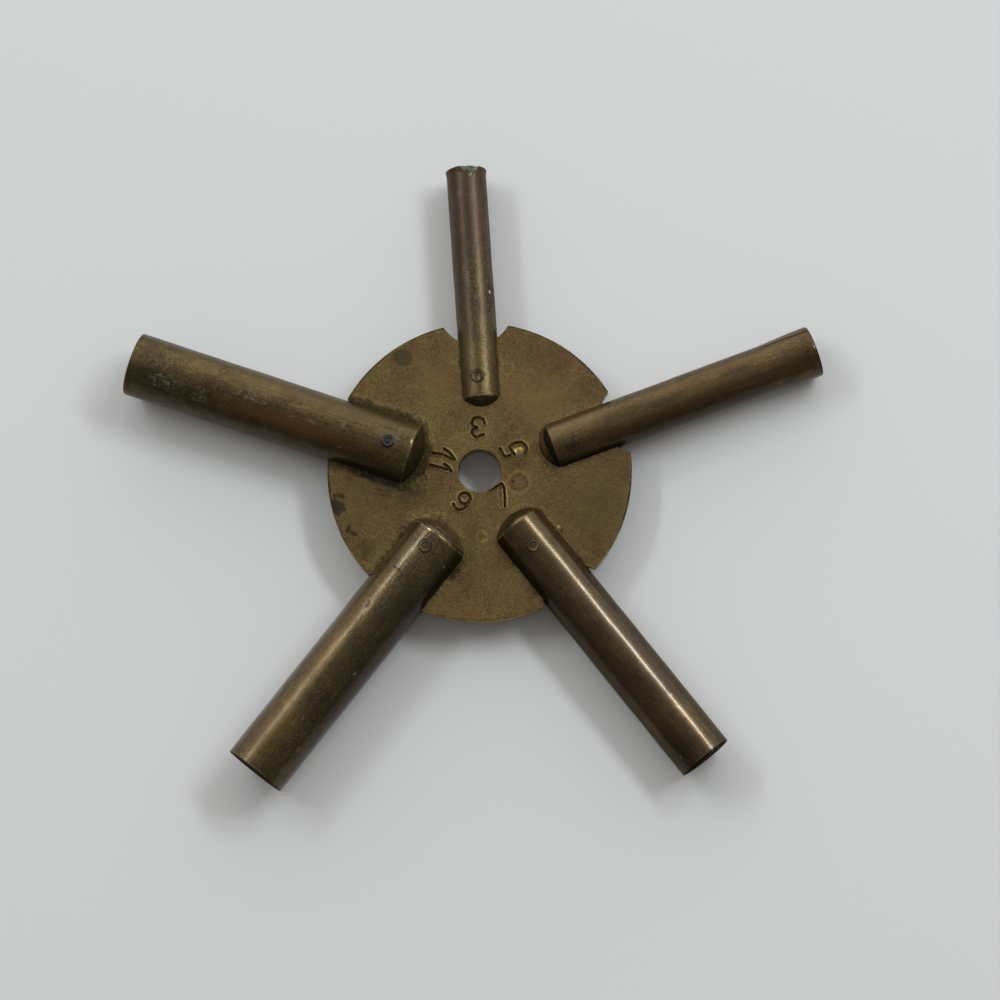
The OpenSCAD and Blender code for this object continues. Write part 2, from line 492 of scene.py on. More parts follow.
    @staticmethod
    def lay_bloom(lay: Nodes, start: bpy.types.Node) -> Sockets:
        """Speckled verdigris, patchy where it is thin."""
        take = start.outputs
        grains = lay.noise(take["Vector"], 2.3, 3.0, 0.7)
        patch = lay.noise(take["Vector"], 1.1, 4.0, 0.7)
        level = lay.plus(take["Growth"], lay.math("SUBTRACT", patch, 0.5), 1.5)
        low = lay.blend(lay.span(grains, 0.36, 0.5), take["Dark"], take["Middle"])
        mask = lay.math("MULTIPLY", lay.span(level, 0.45, 0.75), lay.span(take["Growth"], 0.02, 0.2))
        return {
            "Color": lay.blend(lay.span(grains, 0.54, 0.68), low, take["Pale"]),
            "Mask": mask,
            "Height": lay.math("MULTIPLY", mask, grains),
        }

    @staticmethod
    def lay_rub(lay: Nodes, start: bpy.types.Node) -> Sockets:
        """Bare metal along edges, uneven as handling leaves it."""
        take = start.outputs
        uneven = lay.noise(take["Vector"], 0.9, 3.0, 0.65)
        level = lay.math("MULTIPLY", take["Edge"], lay.span(uneven, 0.3, 0.7, 0.2, 1.25))
        return {"Mask": lay.math("MULTIPLY", lay.span(level, 0.3, 0.9), take["Amount"])}

    @staticmethod
    def lay_spot(lay: Nodes, start: bpy.types.Node) -> Sockets:
        """Round or oval spot, or with Ring at 1 only its outline."""
        take = start.outputs
        length = lay.add("VectorMath", {0: take["Around"]}, operation="LENGTH").outputs["Value"]
        far = lay.plus(length, lay.math("SUBTRACT", take["Cloud"], 0.5), take["Fray"])
        filled = lay.span(far, lay.math("SUBTRACT", 1.0, take["Soft"]), 1.0, 1.0, 0.0)
        outline = lay.span(lay.math("ABSOLUTE", lay.math("SUBTRACT", far, 0.8)), 0.06, 0.2, 1.0, 0.0)
        mixed = lay.add("Mix", {0: take["Ring"], 2: filled, 3: outline}, data_type="FLOAT").outputs[0]
        return {"Mask": lay.math("MULTIPLY", mixed, take["Strength"])}


@dataclass(frozen=True)
class Mark:
    """A spot, smear, nick or ring on the surface of a piece, or a painted shadow, sheen or glint.

    Along, side and up are its centre in the piece's own millimetres. Turn is its turn about
    the piece's length, swing its turn on the surface, and reach its half sizes. Soft is how
    much of it fades, dull what it adds to the roughness and gloss what it adds to the coat.
    """

    along: float
    side: float
    up: float
    reach: Place
    colour: Colour
    strength: float = 0.7
    turn: float = 0.0
    swing: float = 0.0
    ring: float = 0.0
    fray: float = 0.35
    soft: float = 0.3
    dull: float = 0.0
    gloss: float = 0.0


@dataclass(frozen=True)
class BrassFinish:
    """Aged brass: its colours from 0 to 255 and how much wear it shows."""

    base: Colour
    dark: Colour
    light: Colour
    # Colour of the dark deposit, also used as painted shade on the arms' domes.
    crust_and_shade: Colour = (38, 33, 20)
    grime: Colour = (88, 76, 42)
    bare: Colour = (196, 170, 116)
    bloom: tuple[Colour, Colour, Colour] = ((40, 44, 34), (92, 98, 78), (170, 172, 150))
    metallic: float = 0.9
    graze: Colour = (255, 255, 255)
    rough: float = 0.32
    coat: float = 0.12
    coat_rough: float = 0.13
    patch: float = 0.22
    grain: float = 2.4
    speckle: float = 0.22
    streak: float = 0.15
    scratch: float = 0.2
    crust_and_shade_amount: float = 0.8
    rubbed: float = 0.6
    relief: float = 0.012


class BrassPaint:
    """Makes the material of one piece from its finish."""

    def __init__(self, effects: Effects) -> None:
        """Takes the effects that all finishes share."""
        self.effects = effects

    def mix(
        self, name: str, finish: BrassFinish, heading: float = 0.0, shift: float = 0.0,
        marks: Sequence[Mark] = (),
    ) -> bpy.types.Material:
        """Mixes a material.

        Args:
            name: The material's name.
            finish: Its colours and wear.
            heading: Degrees that the piece is turned about the hub.
            shift: Millimetres that the piece's middle line is off the hub's centre.
            marks: Spots, nicks, painted shade and painted highlights on it, in the order that they came.

        Returns:
            The material, which reads the piece's "joint", "edge" and "growth" numbers.
        """
        material = bpy.data.materials.new(name)
        material.use_nodes = True
        material.node_tree.nodes.clear()
        lay = Nodes(material.node_tree)
        place = self.lay_place(lay, heading, shift)
        mottle = lay.group(
            self.effects.mottle, Vector=place, Base=tint(finish.base), Dark=tint(finish.dark),
            Light=tint(finish.light), Patch=finish.patch, Grain=finish.grain, Speckle=finish.speckle,
        ).outputs
        streaks = lay.group(self.effects.streaks, Vector=place, Amount=finish.streak).outputs
        scratches = lay.group(self.effects.scratches, Vector=place, Amount=finish.scratch).outputs
        near, edge, grown = (
            lay.add("Attribute", attribute_name=wear).outputs["Fac"] for wear in ("dirt_and_shade", "edge", "growth")
        )
        crust_and_shade = lay.group(
            self.effects.crust_and_shade, Vector=place, Near=near, Amount=finish.crust_and_shade_amount, Dark=tint(finish.crust_and_shade),
            Pale=tint(finish.grime),
        ).outputs
        dark, middle, pale = (tint(colour) for colour in finish.bloom)
        bloom = lay.group(
            self.effects.bloom, Vector=place, Growth=grown, Dark=dark, Middle=middle, Pale=pale,
        ).outputs
        rub = lay.group(self.effects.rub, Vector=place, Edge=edge, Amount=finish.rubbed).outputs

        colour = lay.shaded(mottle["Color"], streaks["Tone"])
        colour = lay.blend(scratches["Mask"], colour, tint(finish.bare))
        rough = lay.span(mottle["Tone"], 0.35, 0.65, finish.rough * 1.12, finish.rough * 0.9)
        cloud = lay.noise(place, 1.6, 3.0, 0.6)
        coat: object = finish.coat
        for mark in marks:
            mask = self.lay_mark(lay, place, cloud, mark)
            colour = lay.blend(mask, colour, tint(mark.colour))
            if mark.dull:
                rough = lay.plus(rough, mask, mark.dull)
            if mark.gloss:
                coat = lay.plus(coat, mask, mark.gloss)
        colour = lay.blend(crust_and_shade["Mask"], colour, crust_and_shade["Color"])
        colour = lay.blend(bloom["Mask"], colour, bloom["Color"])
        colour = lay.blend(rub["Mask"], colour, tint(finish.bare))

        for mask, dull in ((crust_and_shade["Mask"], 0.3), (bloom["Mask"], 0.4), (rub["Mask"], -0.06)):
            rough = lay.plus(rough, mask, dull)
        height = mottle["Height"]
        for rise, share in ((streaks["Height"], 0.5), (crust_and_shade["Height"], 4.0), (bloom["Height"], 5.0)):
            height = lay.plus(height, rise, share)
        relief = lay.add("Bump", {"Height": height, "Strength": 1.0, "Distance": finish.relief * MM})
        shader = lay.add("BsdfPrincipled", {
            "Base Color": colour, "Roughness": rough, "Normal": relief.outputs[0],
            "Metallic": finish.metallic, "Specular Tint": tint(finish.graze),
            "Coat Weight": coat, "Coat Roughness": finish.coat_rough,
        })
        lay.add("OutputMaterial", {"Surface": shader.outputs[0]})
        return material

    @staticmethod
    def lay_place(lay: Nodes, heading: float, shift: float) -> Socket:
        """Millimetres along, beside and above a piece, from its object coordinates."""
        names = {
            "Vector": lay.add("TexCoord").outputs["Object"],
            "Location": (0.0, -shift, 0.0),
            "Rotation": (0.0, 0.0, -math.radians(heading)),
            "Scale": (1.0 / MM, 1.0 / MM, 1.0 / MM),
        }
        return lay.add("Mapping", names).outputs[0]

    def lay_mark(self, lay: Nodes, place: Socket, cloud: Socket, mark: Mark) -> Socket:
        """Mask of one mark, its outline frayed by a cloudy value."""
        names = {
            "Vector": place,
            "Location": (mark.along, mark.side, mark.up),
            "Rotation": (-math.radians(mark.turn), 0.0, math.radians(mark.swing)),
            "Scale": mark.reach,
        }
        around = lay.add("Mapping", names, vector_type="TEXTURE").outputs[0]
        spot = lay.group(
            self.effects.spot, Around=around, Cloud=cloud, Ring=mark.ring, Fray=mark.fray,
            Soft=mark.soft, Strength=mark.strength,
        )
        return spot.outputs["Mask"]


class Mouth(Enum):
    """What use has done to the open end of an arm."""

    SQUARE = "square"
    FLARED = "flared"
    CHIPPED = "chipped"


@dataclass(frozen=True)
class Dent:
    """A hollow, or with a negative depth a swelling, on an arm.

    Along is millimetres from the hub, round degrees from the top to the left, reach its half
    sizes along and round in millimetres.
    """

    along: float
    round: float
    reach: Point
    depth: float


@dataclass(frozen=True)
class Growth:
    """A patch of verdigris on an arm, placed and sized like a dent, at its thickest the level."""

    along: float
    round: float
    reach: Point
    level: float = 1.0


@dataclass(frozen=True)
class Speckle:
    """A patch of speckled dirt on the disc: its centre, its half sizes, its swing in degrees."""

    centre: Point
    reach: Point
    swing: float = 0.0
    level: float = 0.5


@dataclass
class Rivet:
    """The pin that holds an arm to the disc, its two ends set to the arm's round."""

    name: str
    radius: float
    finish: BrassFinish
    dish: float = 0.05
    rise: float = 0.06
    slit: float = 0.0

    FACETS = 64
    SLIT_WIDTH = 0.16
    RUBBED_AT = 0.84
    """Share of the radius where the raised ring is rubbed."""

    def profile(self, height: float) -> list[Point]:
        """Upright profile from the lower middle to the upper one.

        Args:
            height: Half the length of the pin, at the middle line of its arm.

        Returns:
            Points as (height, radius).
        """
        steps = (
            (-0.5, 1.0), (-0.12, 1.0), (-0.03, 0.98), (self.rise * 0.4, 0.92), (self.rise * 0.6, 0.84),
            (self.rise * 0.4, 0.74), (-self.dish * 0.4, 0.6), (-self.dish * 0.7, 0.4),
            (-self.dish * 0.55, 0.2), (-self.dish * 0.3, 0.0),
        )
        upper = [(height + step, self.radius * share) for step, share in steps]
        lower = [(-along, radius) for along, radius in reversed(upper)]
        return lower + upper

    def build(self, arm: "Arm") -> Piece:
        """Turns the pin and sets its ends to the round of its arm.

        Args:
            arm: The arm that it goes through.

        Returns:
            The pin, in metres, in its place.
        """
        obj = Bench.turn(self.name, self.profile(arm.radius), Axis.UPRIGHT, self.FACETS)
        points = Bench.points(obj)
        side = points[:, 1] + arm.rivet_side
        drop = np.sqrt(arm.radius**2 - side**2) - arm.radius
        points[:, 2] += np.sign(points[:, 2]) * drop
        if self.slit:
            across = np.hypot(points[:, 0] / (self.radius * 0.6), points[:, 1] / self.SLIT_WIDTH)
            points[:, 2] -= np.sign(points[:, 2]) * self.slit * bump_at(across, 1.0)
        points[:, 0] += arm.rivet_along
        points[:, 1] += arm.rivet_side
        Bench.move_points(obj, points)
        rim = np.hypot(points[:, 0] - arm.rivet_along, points[:, 1] - arm.rivet_side)
        Bench.mark(obj, "dirt_and_shade", ease(rim, self.radius * 0.86, self.radius * 1.0) * 0.8)
        Bench.mark(obj, "edge", bump_at(rim - self.radius * self.RUBBED_AT, self.radius * 0.12))
        Bench.hand_over(obj, arm.heading, arm.shift, crease=50.0)
        return obj

    def dress(self, obj: Piece, arm: "Arm", paint: BrassPaint) -> None:
        """Gives the pin its finish."""
        material = paint.mix(f"{self.name}_brass", self.finish, arm.heading, arm.shift)
        obj.data.materials.append(material)


@dataclass
class Arm:
    """A rod with a domed inner end, slotted over the disc, with a square socket in its mouth."""

    size: int
    diameter: float
    start: float
    length: float
    dome: float
    heading: float
    shift: float
    rivet_side: float
    across_flats: float
    finish: BrassFinish
    roll: float = 0.0
    rivet_circle: float = 12.0
    rivet_hole: float = 0.88
    slot: float = 1.66
    slot_end: float = 17.0
    socket_depth: float = 12.0
    drill_depth: float = 2.0
    drill_point: float = 1.2
    mouth: Mouth = Mouth.SQUARE
    mouth_round: float = 0.22
    mouth_lean: float = 0.0
    grime: float = 0.5
    grime_level: float = 0.4
    # How dark the dome is made: painted shade and dirt.
    dome_dirt_and_shade: float = 0.3
    dome_fade: float = 9.0
    corner: float = 0.2
    dome_rings: float = 0.005
    hole_dirt: float = 0.8
    dents: tuple[Dent, ...] = ()
    growths: tuple[Growth, ...] = ()
    seam: tuple[Point, ...] = ()
    marks: tuple[Mark, ...] = ()

    FACETS = 160
    STATION = 0.3
    FINE_STATION = 0.12
    FINE_LENGTH = 2.4
    EDGE = 0.14
    DOME_STEPS = 60
    DOME_GROOVES = 6.5
    WAVES = (7.0, 11.0, 19.0)
    WAVE_HEIGHT = 0.006
    CRUST_HEIGHT = 0.05
    FLARE = 0.24
    FLARE_LENGTH = 8.0
    CHIP_TURN = -14.0
    CHIP_LENGTH = 1.62
    CHIP_DEPTH = 0.3
    CHIP_LIP = 0.12
    CHIP_FLARE = 0.1
    LEAN_LENGTH = 3.0
    SEAM_WIDTH = 0.15
    SEAM_DEPTH = 1.1
    SEAM_OVERLAP = 0.05
    SOCKET_EASE = 0.16
    DRILL_WALL = 0.1
    DRILL_FACETS = 48

    @property
    def name(self) -> str:
        """Name of the piece."""
        return f"socket_arm_{self.size}"

    @property
    def radius(self) -> float:
        """Half the rod's diameter."""
        return self.diameter / 2.0

    @property
    def end(self) -> float:
        """Distance from the hub to the mouth."""
        return self.start + self.length

    @property
    def rivet_along(self) -> float:
        """Distance along the arm at which its rivet lies on the rivet circle."""
        return math.sqrt(self.rivet_circle**2 - (self.shift + self.rivet_side) ** 2)

    def on_disc(self, along: float, side: float = 0.0) -> Vector:
        """A point of the disc's plane, along the arm's middle line and to the left of it."""
        return Matrix.Rotation(math.radians(self.heading), 2) @ Vector((along, self.shift + side))

    @property
    def ball(self) -> float:
        """Radius of the ball whose cap is the dome."""
        return (self.radius**2 + self.dome**2) / (2.0 * self.dome)

    def profile(self) -> list[Point]:
        """Rod from the tip of its dome to the middle of its mouth."""
        middle = self.start - self.dome + self.ball
        reach = math.asin((self.radius - self.EDGE) / self.ball)
        points = []
        for a in np.linspace(0.0, reach, self.DOME_STEPS):
            wave = 1.0 - math.cos(a / reach * self.DOME_GROOVES * math.tau)
            ball = self.ball - self.dome_rings * wave * (a > 0.3 * reach)
            points.append((middle - ball * math.cos(a), ball * math.sin(a)))
        points += [(self.start - self.EDGE * 0.15, self.radius - self.EDGE * 0.45),
                   (self.start + self.EDGE * 0.25, self.radius - self.EDGE * 0.1)]
        shoulder = self.end - self.mouth_round
        near = self.end - self.FINE_LENGTH
        stations = spaced(self.start + self.EDGE, near, self.STATION)[:-1]
        stations += spaced(near, shoulder, self.FINE_STATION)
        points += [(station, self.radius) for station in stations]
        points += [
            (shoulder + self.mouth_round * math.sin(a), self.radius - self.mouth_round * (1 - math.cos(a)))
            for a in np.radians((22.5, 45.0, 67.5, 90.0))
        ]
        points += [(self.end, self.radius * 0.7), (self.end, 0.0)]
        return points

    def build(self) -> Piece:
        """Turns the rod, wears it, cuts slot, rivet hole, socket and seam, and marks its wear.

        Returns:
            The arm, in metres, in its place.
        """
        obj = Bench.turn(self.name, self.profile(), Axis.ROD, self.FACETS)
        self.wear(obj)
        self.cut_slot(obj)
        self.cut_socket(obj)
        self.cut_seam(obj)
        Bench.weld(obj)
        self.mark_wear(obj)
        Bench.hand_over(obj, self.heading, self.shift, crease=32.0)
        return obj

    def wear(self, obj: Piece) -> None:
        """Moves the surface as use has: faint waves, dents, crusts and the state of the mouth."""
        points = Bench.points(obj)
        along, side, up = points.T
        radius = np.hypot(side, up)
        turn = np.arctan2(side, up)
        rng = np.random.default_rng(self.size)
        swell = np.zeros(len(points))
        for wave in self.WAVES:
            lean, phase, lobes = rng.uniform(-0.5, 0.5), rng.uniform(0, math.tau), rng.integers(1, 4)
            swell += self.WAVE_HEIGHT * np.sin(math.tau * along / wave + lobes * turn + phase + lean)
        for dent in self.dents:
            swell -= dent.depth * bump_at(self.off_patch(along, turn, dent), 1.0)
        grown = self.growth(along, turn)
        rows = grown > 0.05
        swell[rows] += self.CRUST_HEIGHT * grown[rows] * (0.4 + crumbs(points[rows], 2.3))
        if self.mouth is Mouth.FLARED:
            swell += self.FLARE * ease(along, self.end - self.FLARE_LENGTH, self.end - 0.3)
        elif self.mouth is Mouth.CHIPPED:
            swell += self.CHIP_FLARE * ease(along, self.end - 0.9, self.end - 0.1)
            swell -= self.CHIP_DEPTH * self.chip(along, turn)
        outer = ease(radius, self.radius * 0.3, self.radius * 0.95)
        scale = 1.0 + swell * outer / np.maximum(radius, 1e-6)
        points[:, 1:] *= scale[:, None]
        if self.mouth is Mouth.CHIPPED:
            lip = ease(along, self.end - 1.2, self.end) * bump_at(np.abs(turn), 0.7)
            points[:, 0] += self.CHIP_LIP * lip * ease(radius, self.radius * 0.4, self.radius)
        lean = math.tan(math.radians(self.mouth_lean)) * np.maximum(up, 0.0)
        points[:, 0] += lean * ease(along, self.end - self.LEAN_LENGTH, self.end)
        Bench.move_points(obj, points)

    def arc(self, turn: np.ndarray, degrees: float) -> np.ndarray:
        """Millimetres round the rod from a turn given in degrees."""
        return np.angle(np.exp(1j * (turn - math.radians(degrees)))) * self.radius

    def off_patch(self, along: np.ndarray, turn: np.ndarray, patch: Dent | Growth) -> np.ndarray:
        """How far points lie from the centre of a patch, as a share of its half sizes."""
        off = self.arc(turn, patch.round) / patch.reach[1]
        return np.hypot((along - patch.along) / patch.reach[0], off)

    def chip(self, along: np.ndarray, turn: np.ndarray) -> np.ndarray:
        """How far points lie inside the chip of a chipped mouth, from 0 to 1."""
        half = 0.85 * (along - self.end + self.CHIP_LENGTH)
        inside = half - np.abs(self.arc(turn, self.CHIP_TURN))
        return ease(inside, 0.0, 0.2) * (self.mouth is Mouth.CHIPPED)

    def growth(self, along: np.ndarray, turn: np.ndarray) -> np.ndarray:
        """How much verdigris points carry, from 0 to 1."""
        level = self.chip(along, turn)
        for patch in self.growths:
            level = np.maximum(level, patch.level * ease(self.off_patch(along, turn, patch), 1.25, 0.4))
        return level

    def cut_seam(self, obj: Piece) -> None:
        """Cuts a hair crack into the rod, from point to point of its seam."""
        def on_rod(along: float, turn: float) -> Vector:
            """A point of the rod's surface."""
            angle = math.radians(turn)
            return Vector((along, self.radius * math.sin(angle), self.radius * math.cos(angle)))

        for here, there in zip(self.seam, self.seam[1:]):
            a, b = on_rod(*here), on_rod(*there)
            out = Vector((0.0, a.y + b.y, a.z + b.z)).normalized()
            length = (b - a).normalized()
            blade = Bench.block((-0.5, -0.5, -0.5), (0.5, 0.5, 0.5))
            across = out.cross(length).normalized()
            turn = Matrix((length, across, length.cross(across))).transposed().to_4x4()
            reach = (b - a).length + self.SEAM_OVERLAP
            size = Matrix.Diagonal((reach, self.SEAM_WIDTH, self.SEAM_DEPTH, 1.0))
            blade.matrix_world = Matrix.Translation((a + b) / 2.0) @ turn @ size
            Bench.cut(obj, blade)

    def cut_slot(self, obj: Piece) -> None:
        """Cuts the slot that takes the disc, and the hole for the rivet."""
        wide, half = self.radius + Bench.SPARE, self.slot / 2.0
        low = (self.start - self.dome - Bench.SPARE, -wide, -half)
        Bench.cut(obj, Bench.block(low, (self.slot_end, wide, half)))
        Bench.cut(obj, Bench.pin(self.rivet_hole, self.rivet_along, self.rivet_side, 2.0 * wide))

    def cut_socket(self, obj: Piece) -> None:
        """Cuts the square socket with its eased mouth, and the drilled point below it."""
        half, floor = self.across_flats / 2.0, self.end - self.socket_depth
        cutter = Bench.block((floor, -half, -half), (self.end - self.SOCKET_EASE, half, half))
        with Bench.editing(cutter, lambda face: face.normal.x > 0.9):
            bpy.ops.mesh.extrude_region_move(TRANSFORM_OT_translate={"value": (self.SOCKET_EASE, 0, 0)})
            grow = 1.0 + self.SOCKET_EASE / half
            bpy.ops.transform.resize(value=(1.0, grow, grow))
            bpy.ops.mesh.extrude_region_move(TRANSFORM_OT_translate={"value": (Bench.SPARE, 0, 0)})
        Bench.weld(cutter)
        cutter.rotation_euler = (math.radians(self.roll), 0.0, 0.0)
        Bench.cut(obj, cutter)
        bore, deep, top = half - self.DRILL_WALL, floor - self.drill_depth, floor + Bench.SPARE
        point = [(deep - self.drill_point, 0.0), (deep, bore), (top, bore), (top, 0.0)]
        Bench.cut(obj, Bench.turn("drill", point, Axis.ROD, self.DRILL_FACETS))

    def mark_wear(self, obj: Piece) -> None:
        """Marks dirt where the arm meets the disc and round the rivet, painted shade and dirt on the dome,
        a darker mouth face and socket, and where edges are rubbed bare.
        """
        along, side, up = Bench.points(obj).T
        radius = np.hypot(side, up)
        outer = ease(radius, self.radius - 0.5, self.radius - 0.1)
        beside = ease(along, self.slot_end + 0.6, self.slot_end - 0.2)
        dirt_and_shade = 0.85 * bump_at(np.abs(up) - self.slot / 2.0, 0.55) * beside
        # Painted shade and dirt over the dome, from its edge as far as dome_fade reaches.
        depth = np.sqrt(np.maximum(self.ball**2 - side**2, 0.0)) - self.ball + self.dome
        share = (self.start - along) / np.maximum(depth, 0.05)
        dome = ease(share, self.dome_fade + 0.15, self.dome_fade - 0.15)
        dome *= ease(along, self.start + 0.02, self.start - 0.1)
        dirt_and_shade = np.maximum(dirt_and_shade, self.dome_dirt_and_shade * dome)
        # Darkens the mouth's end face.
        dirt_and_shade = np.maximum(dirt_and_shade, ease(along, self.end - 0.3, self.end - 0.05))
        # Darkens the socket's inner walls.
        hidden = ease(radius, self.radius - 0.25, self.radius - 0.5)
        hidden *= ease(along, self.end - 16.0, self.end - 14.0)
        hidden *= ease(along, self.end + 0.4, self.end - 0.15)
        hole = np.hypot(along - self.rivet_along, side - self.rivet_side)
        rim = self.hole_dirt * bump_at(hole - self.rivet_hole, 0.08)
        dirt_and_shade = np.maximum(dirt_and_shade, rim * ease(np.abs(up), 0.9, 1.2))
        Bench.mark(obj, "dirt_and_shade", np.maximum(dirt_and_shade, hidden))
        Bench.mark(obj, "edge", bump_at(along - self.start, 0.18) * outer)
        Bench.mark(obj, "growth", self.growth(along, np.arctan2(side, up)) * outer)

    def dress(self, obj: Piece, paint: BrassPaint) -> None:
        """Gives the arm its finish."""
        material = paint.mix(f"{self.name}_brass", self.finish, self.heading, self.shift, self.marks)
        obj.data.materials.append(material)

    def band(self, along: float, reach: float, colour: Colour, strength: float, dull: float) -> Mark:
        """A soft tint all round the rod."""
        wide = self.radius * 1.8
        return Mark(along, 0.0, 0.0, (reach, wide, wide), colour, strength, fray=0.5, soft=0.4, dull=dull)

    def mouth_shade(self) -> Mark:
        """Painted shade on the face of the mouth: a black mark, which takes away its gloss."""
        middle, reach = self.end + 0.23, (0.35, self.radius * 2.2, self.radius * 2.2)
        return Mark(middle, 0.0, 0.0, reach, (18, 15, 10), 0.95, fray=0.1, dull=0.4, gloss=-0.3)

    def around(
        self, along: float, turn: float, reach: Point, colour: Colour, strength: float = 0.7,
        **more: float,
    ) -> Mark:
        """A mark on the rod's round.

        Args:
            along: Millimetres from the hub.
            turn: Degrees from the top to the left.
            reach: Half sizes along and round, in millimetres.
            colour: Its colour.
            strength: How much of it shows.
            **more: Other fields of a mark.

        Returns:
            The mark.
        """
        angle = math.radians(turn)
        side, up = self.radius * math.sin(angle), self.radius * math.cos(angle)
        return Mark(along, side, up, (*reach, max(0.8, reach[1])), colour, strength, turn=turn, **more)

    def smudge_and_painted_light(
        self, along: float, turn: float, reach: Point, colour: Colour, strength: float,
        fray: float = 0.8, **more: float,
    ) -> Mark:
        """A mark that fades over most of its reach, placed as the method around places one: a soft tint or
        smear, or a painted sheen, shade or highlight.
        """
        return self.around(along, turn, reach, colour, strength, fray=fray, soft=0.8, **more)


@dataclass(frozen=True)
class Numeral:
    """A stamped size number: strokes in its own millimetres, its top turned to the hub."""

    text: str
    centre: Point
    top: float
    strokes: tuple[tuple[Point, ...], ...]
    width: float = 0.34
    depth: float = 0.28
    dirt: float = 0.56

    def distance(self, points: np.ndarray) -> np.ndarray:
        """Distance of points on the disc's face from the nearest stroke.

        Args:
            points: Rows of x and y in millimetres.

        Returns:
            One distance for each row.
        """
        rise, left = turned(points - self.centre, self.top)
        own = np.stack((-left, rise), axis=1)
        nearest = np.full(len(points), 1e3)
        for stroke in self.strokes:
            for a, b in zip(np.array(stroke), np.array(stroke)[1:]):
                share = np.clip((own - a) @ (b - a) / max((b - a) @ (b - a), 1e-9), 0.0, 1.0)
                nearest = np.minimum(nearest, np.linalg.norm(own - a - share[:, None] * (b - a), axis=1))
        return nearest


@dataclass
class HubDisc:
    """The round plate in the middle, notched at each arm and stamped with their sizes."""

    finish: BrassFinish
    numerals: tuple[Numeral, ...]
    marks: tuple[Mark, ...] = ()
    speckles: tuple[Speckle, ...] = ()
    name: str = "winding_disc"
    radius: float = 19.0
    thick: float = 1.6
    hole: float = 2.65
    notch: float = 4.7
    notch_out: float = 1.9
    edge: float = 0.12
    stamped_to: float = 7.0
    stamp_lip: float = 0.05
    # Heading of the bottom of the picture: edges are brighter towards it and the rim darker away from it.
    bright_edge_heading: float = 108.58

    FACETS = 240
    NOTCH_FACETS = 160
    CORNER_FACETS = 48
    RIVET_HOLE = 0.83
    WAVE_HEIGHT = 0.008
    DIRT_HEIGHT = 0.06
    PRESS_OUT = 0.03
    PRESS_IN = 0.12
    LIP_OUT = 0.1
    LIP_WIDTH = 0.08
    RIM_WEAR = 0.16
    HOLE_WEAR = 0.14
    NOTCH_WEAR = 0.12
    UPPER = 0.3
    """Height above which a point belongs to the stamped face."""

    def profile(self) -> list[Point]:
        """Cross-section from the lower edge of the hole round and back."""
        half, edge = self.thick / 2.0, self.edge
        steps = np.radians((0.0, 30.0, 60.0, 90.0))
        hole_top = [(half - edge * (1 - math.sin(a)), self.hole + edge * (1 - math.cos(a))) for a in steps]
        rim_top = [
            (half - edge * (1 - math.cos(a)), self.radius - edge * (1 - math.sin(a))) for a in steps
        ]
        inner = [(half, r) for r in spaced(self.hole + edge, self.stamped_to, 0.15)[1:]]
        outer = [(half, r) for r in spaced(self.stamped_to, self.radius - edge, 0.3)[1:-1]]
        upper = hole_top + inner + outer + rim_top
        under = [(half, r) for r in spaced(self.hole + edge, self.radius - edge, 0.5)[1:-1]]
        lower = [(-z, r) for z, r in reversed(hole_top + under + rim_top)]
        return upper + lower + upper[:1]

    def build(self, arms: Sequence[Arm]) -> Piece:
        """Turns the plate, stamps it, notches it for the arms and marks its wear.

        Args:
            arms: The arms that it holds.

        Returns:
            The disc, in metres, in its place.
        """
        obj = Bench.turn(self.name, self.profile(), Axis.UPRIGHT, self.FACETS)
        self.refine(obj, arms)
        self.stamp(obj)
        self.encrust(obj, arms)
        self.cut_notches(obj, arms)
        Bench.weld(obj)
        self.mark_wear(obj, arms)
        Bench.hand_over(obj, 0.0, 0.0, crease=40.0)
        return obj

    def refine(self, obj: Piece, arms: Sequence[Arm]) -> None:
        """Subdivides the upper face where it is stamped and where dirt lies on it."""
        centres = np.array([face.center.to_2d() for face in obj.data.polygons])
        fine = (np.hypot(*centres.T) < self.stamped_to) | (self.grime(centres, arms) > 0.0)
        with Bench.editing(obj, lambda face: face.normal.z > 0.9 and bool(fine[face.index])):
            bpy.ops.mesh.subdivide(number_cuts=1)

    def grime(self, flat: np.ndarray, arms: Sequence[Arm]) -> np.ndarray:
        """Dirt beside the arms.

        Args:
            flat: Rows of x and y in millimetres.
            arms: The arms that the disc holds.

        Returns:
            A number from 0 to 1 for each row.
        """
        level = np.zeros(len(flat))
        for arm in arms:
            along, left = turned(flat, arm.heading)
            side = left - arm.shift
            half = math.sqrt(arm.radius**2 - (self.thick / 2.0) ** 2)
            cap = math.sqrt(arm.ball**2 - (self.thick / 2.0) ** 2)
            middle = arm.start - arm.dome + arm.ball
            ball = np.hypot(along - middle, side) - cap
            off = np.maximum(np.abs(side) - half, np.where(along < middle, ball, -half))
            level = np.maximum(level, arm.grime_level * ease(off, arm.grime * 1.8, arm.grime * 0.2))
        return level

    def growth(self, flat: np.ndarray) -> np.ndarray:
        """How much speckled dirt points on the face carry, from 0 to 1."""
        level = np.zeros(len(flat))
        for patch in self.speckles:
            along, side = turned(flat - patch.centre, patch.swing)
            far = np.hypot(along / patch.reach[0], side / patch.reach[1])
            level = np.maximum(level, patch.level * ease(far, 1.25, 0.4))
        return level

    def encrust(self, obj: Piece, arms: Sequence[Arm]) -> None:
        """Raises the dirt beside the arms a little, grain by grain."""
        points = Bench.points(obj)
        level = self.grime(points[:, :2], arms) * (points[:, 2] > self.thick / 2.0 - self.edge)
        rows = level > 0.02
        points[rows, 2] += self.DIRT_HEIGHT * level[rows] * (0.5 + crumbs(points[rows], 2.2))
        Bench.move_points(obj, points)

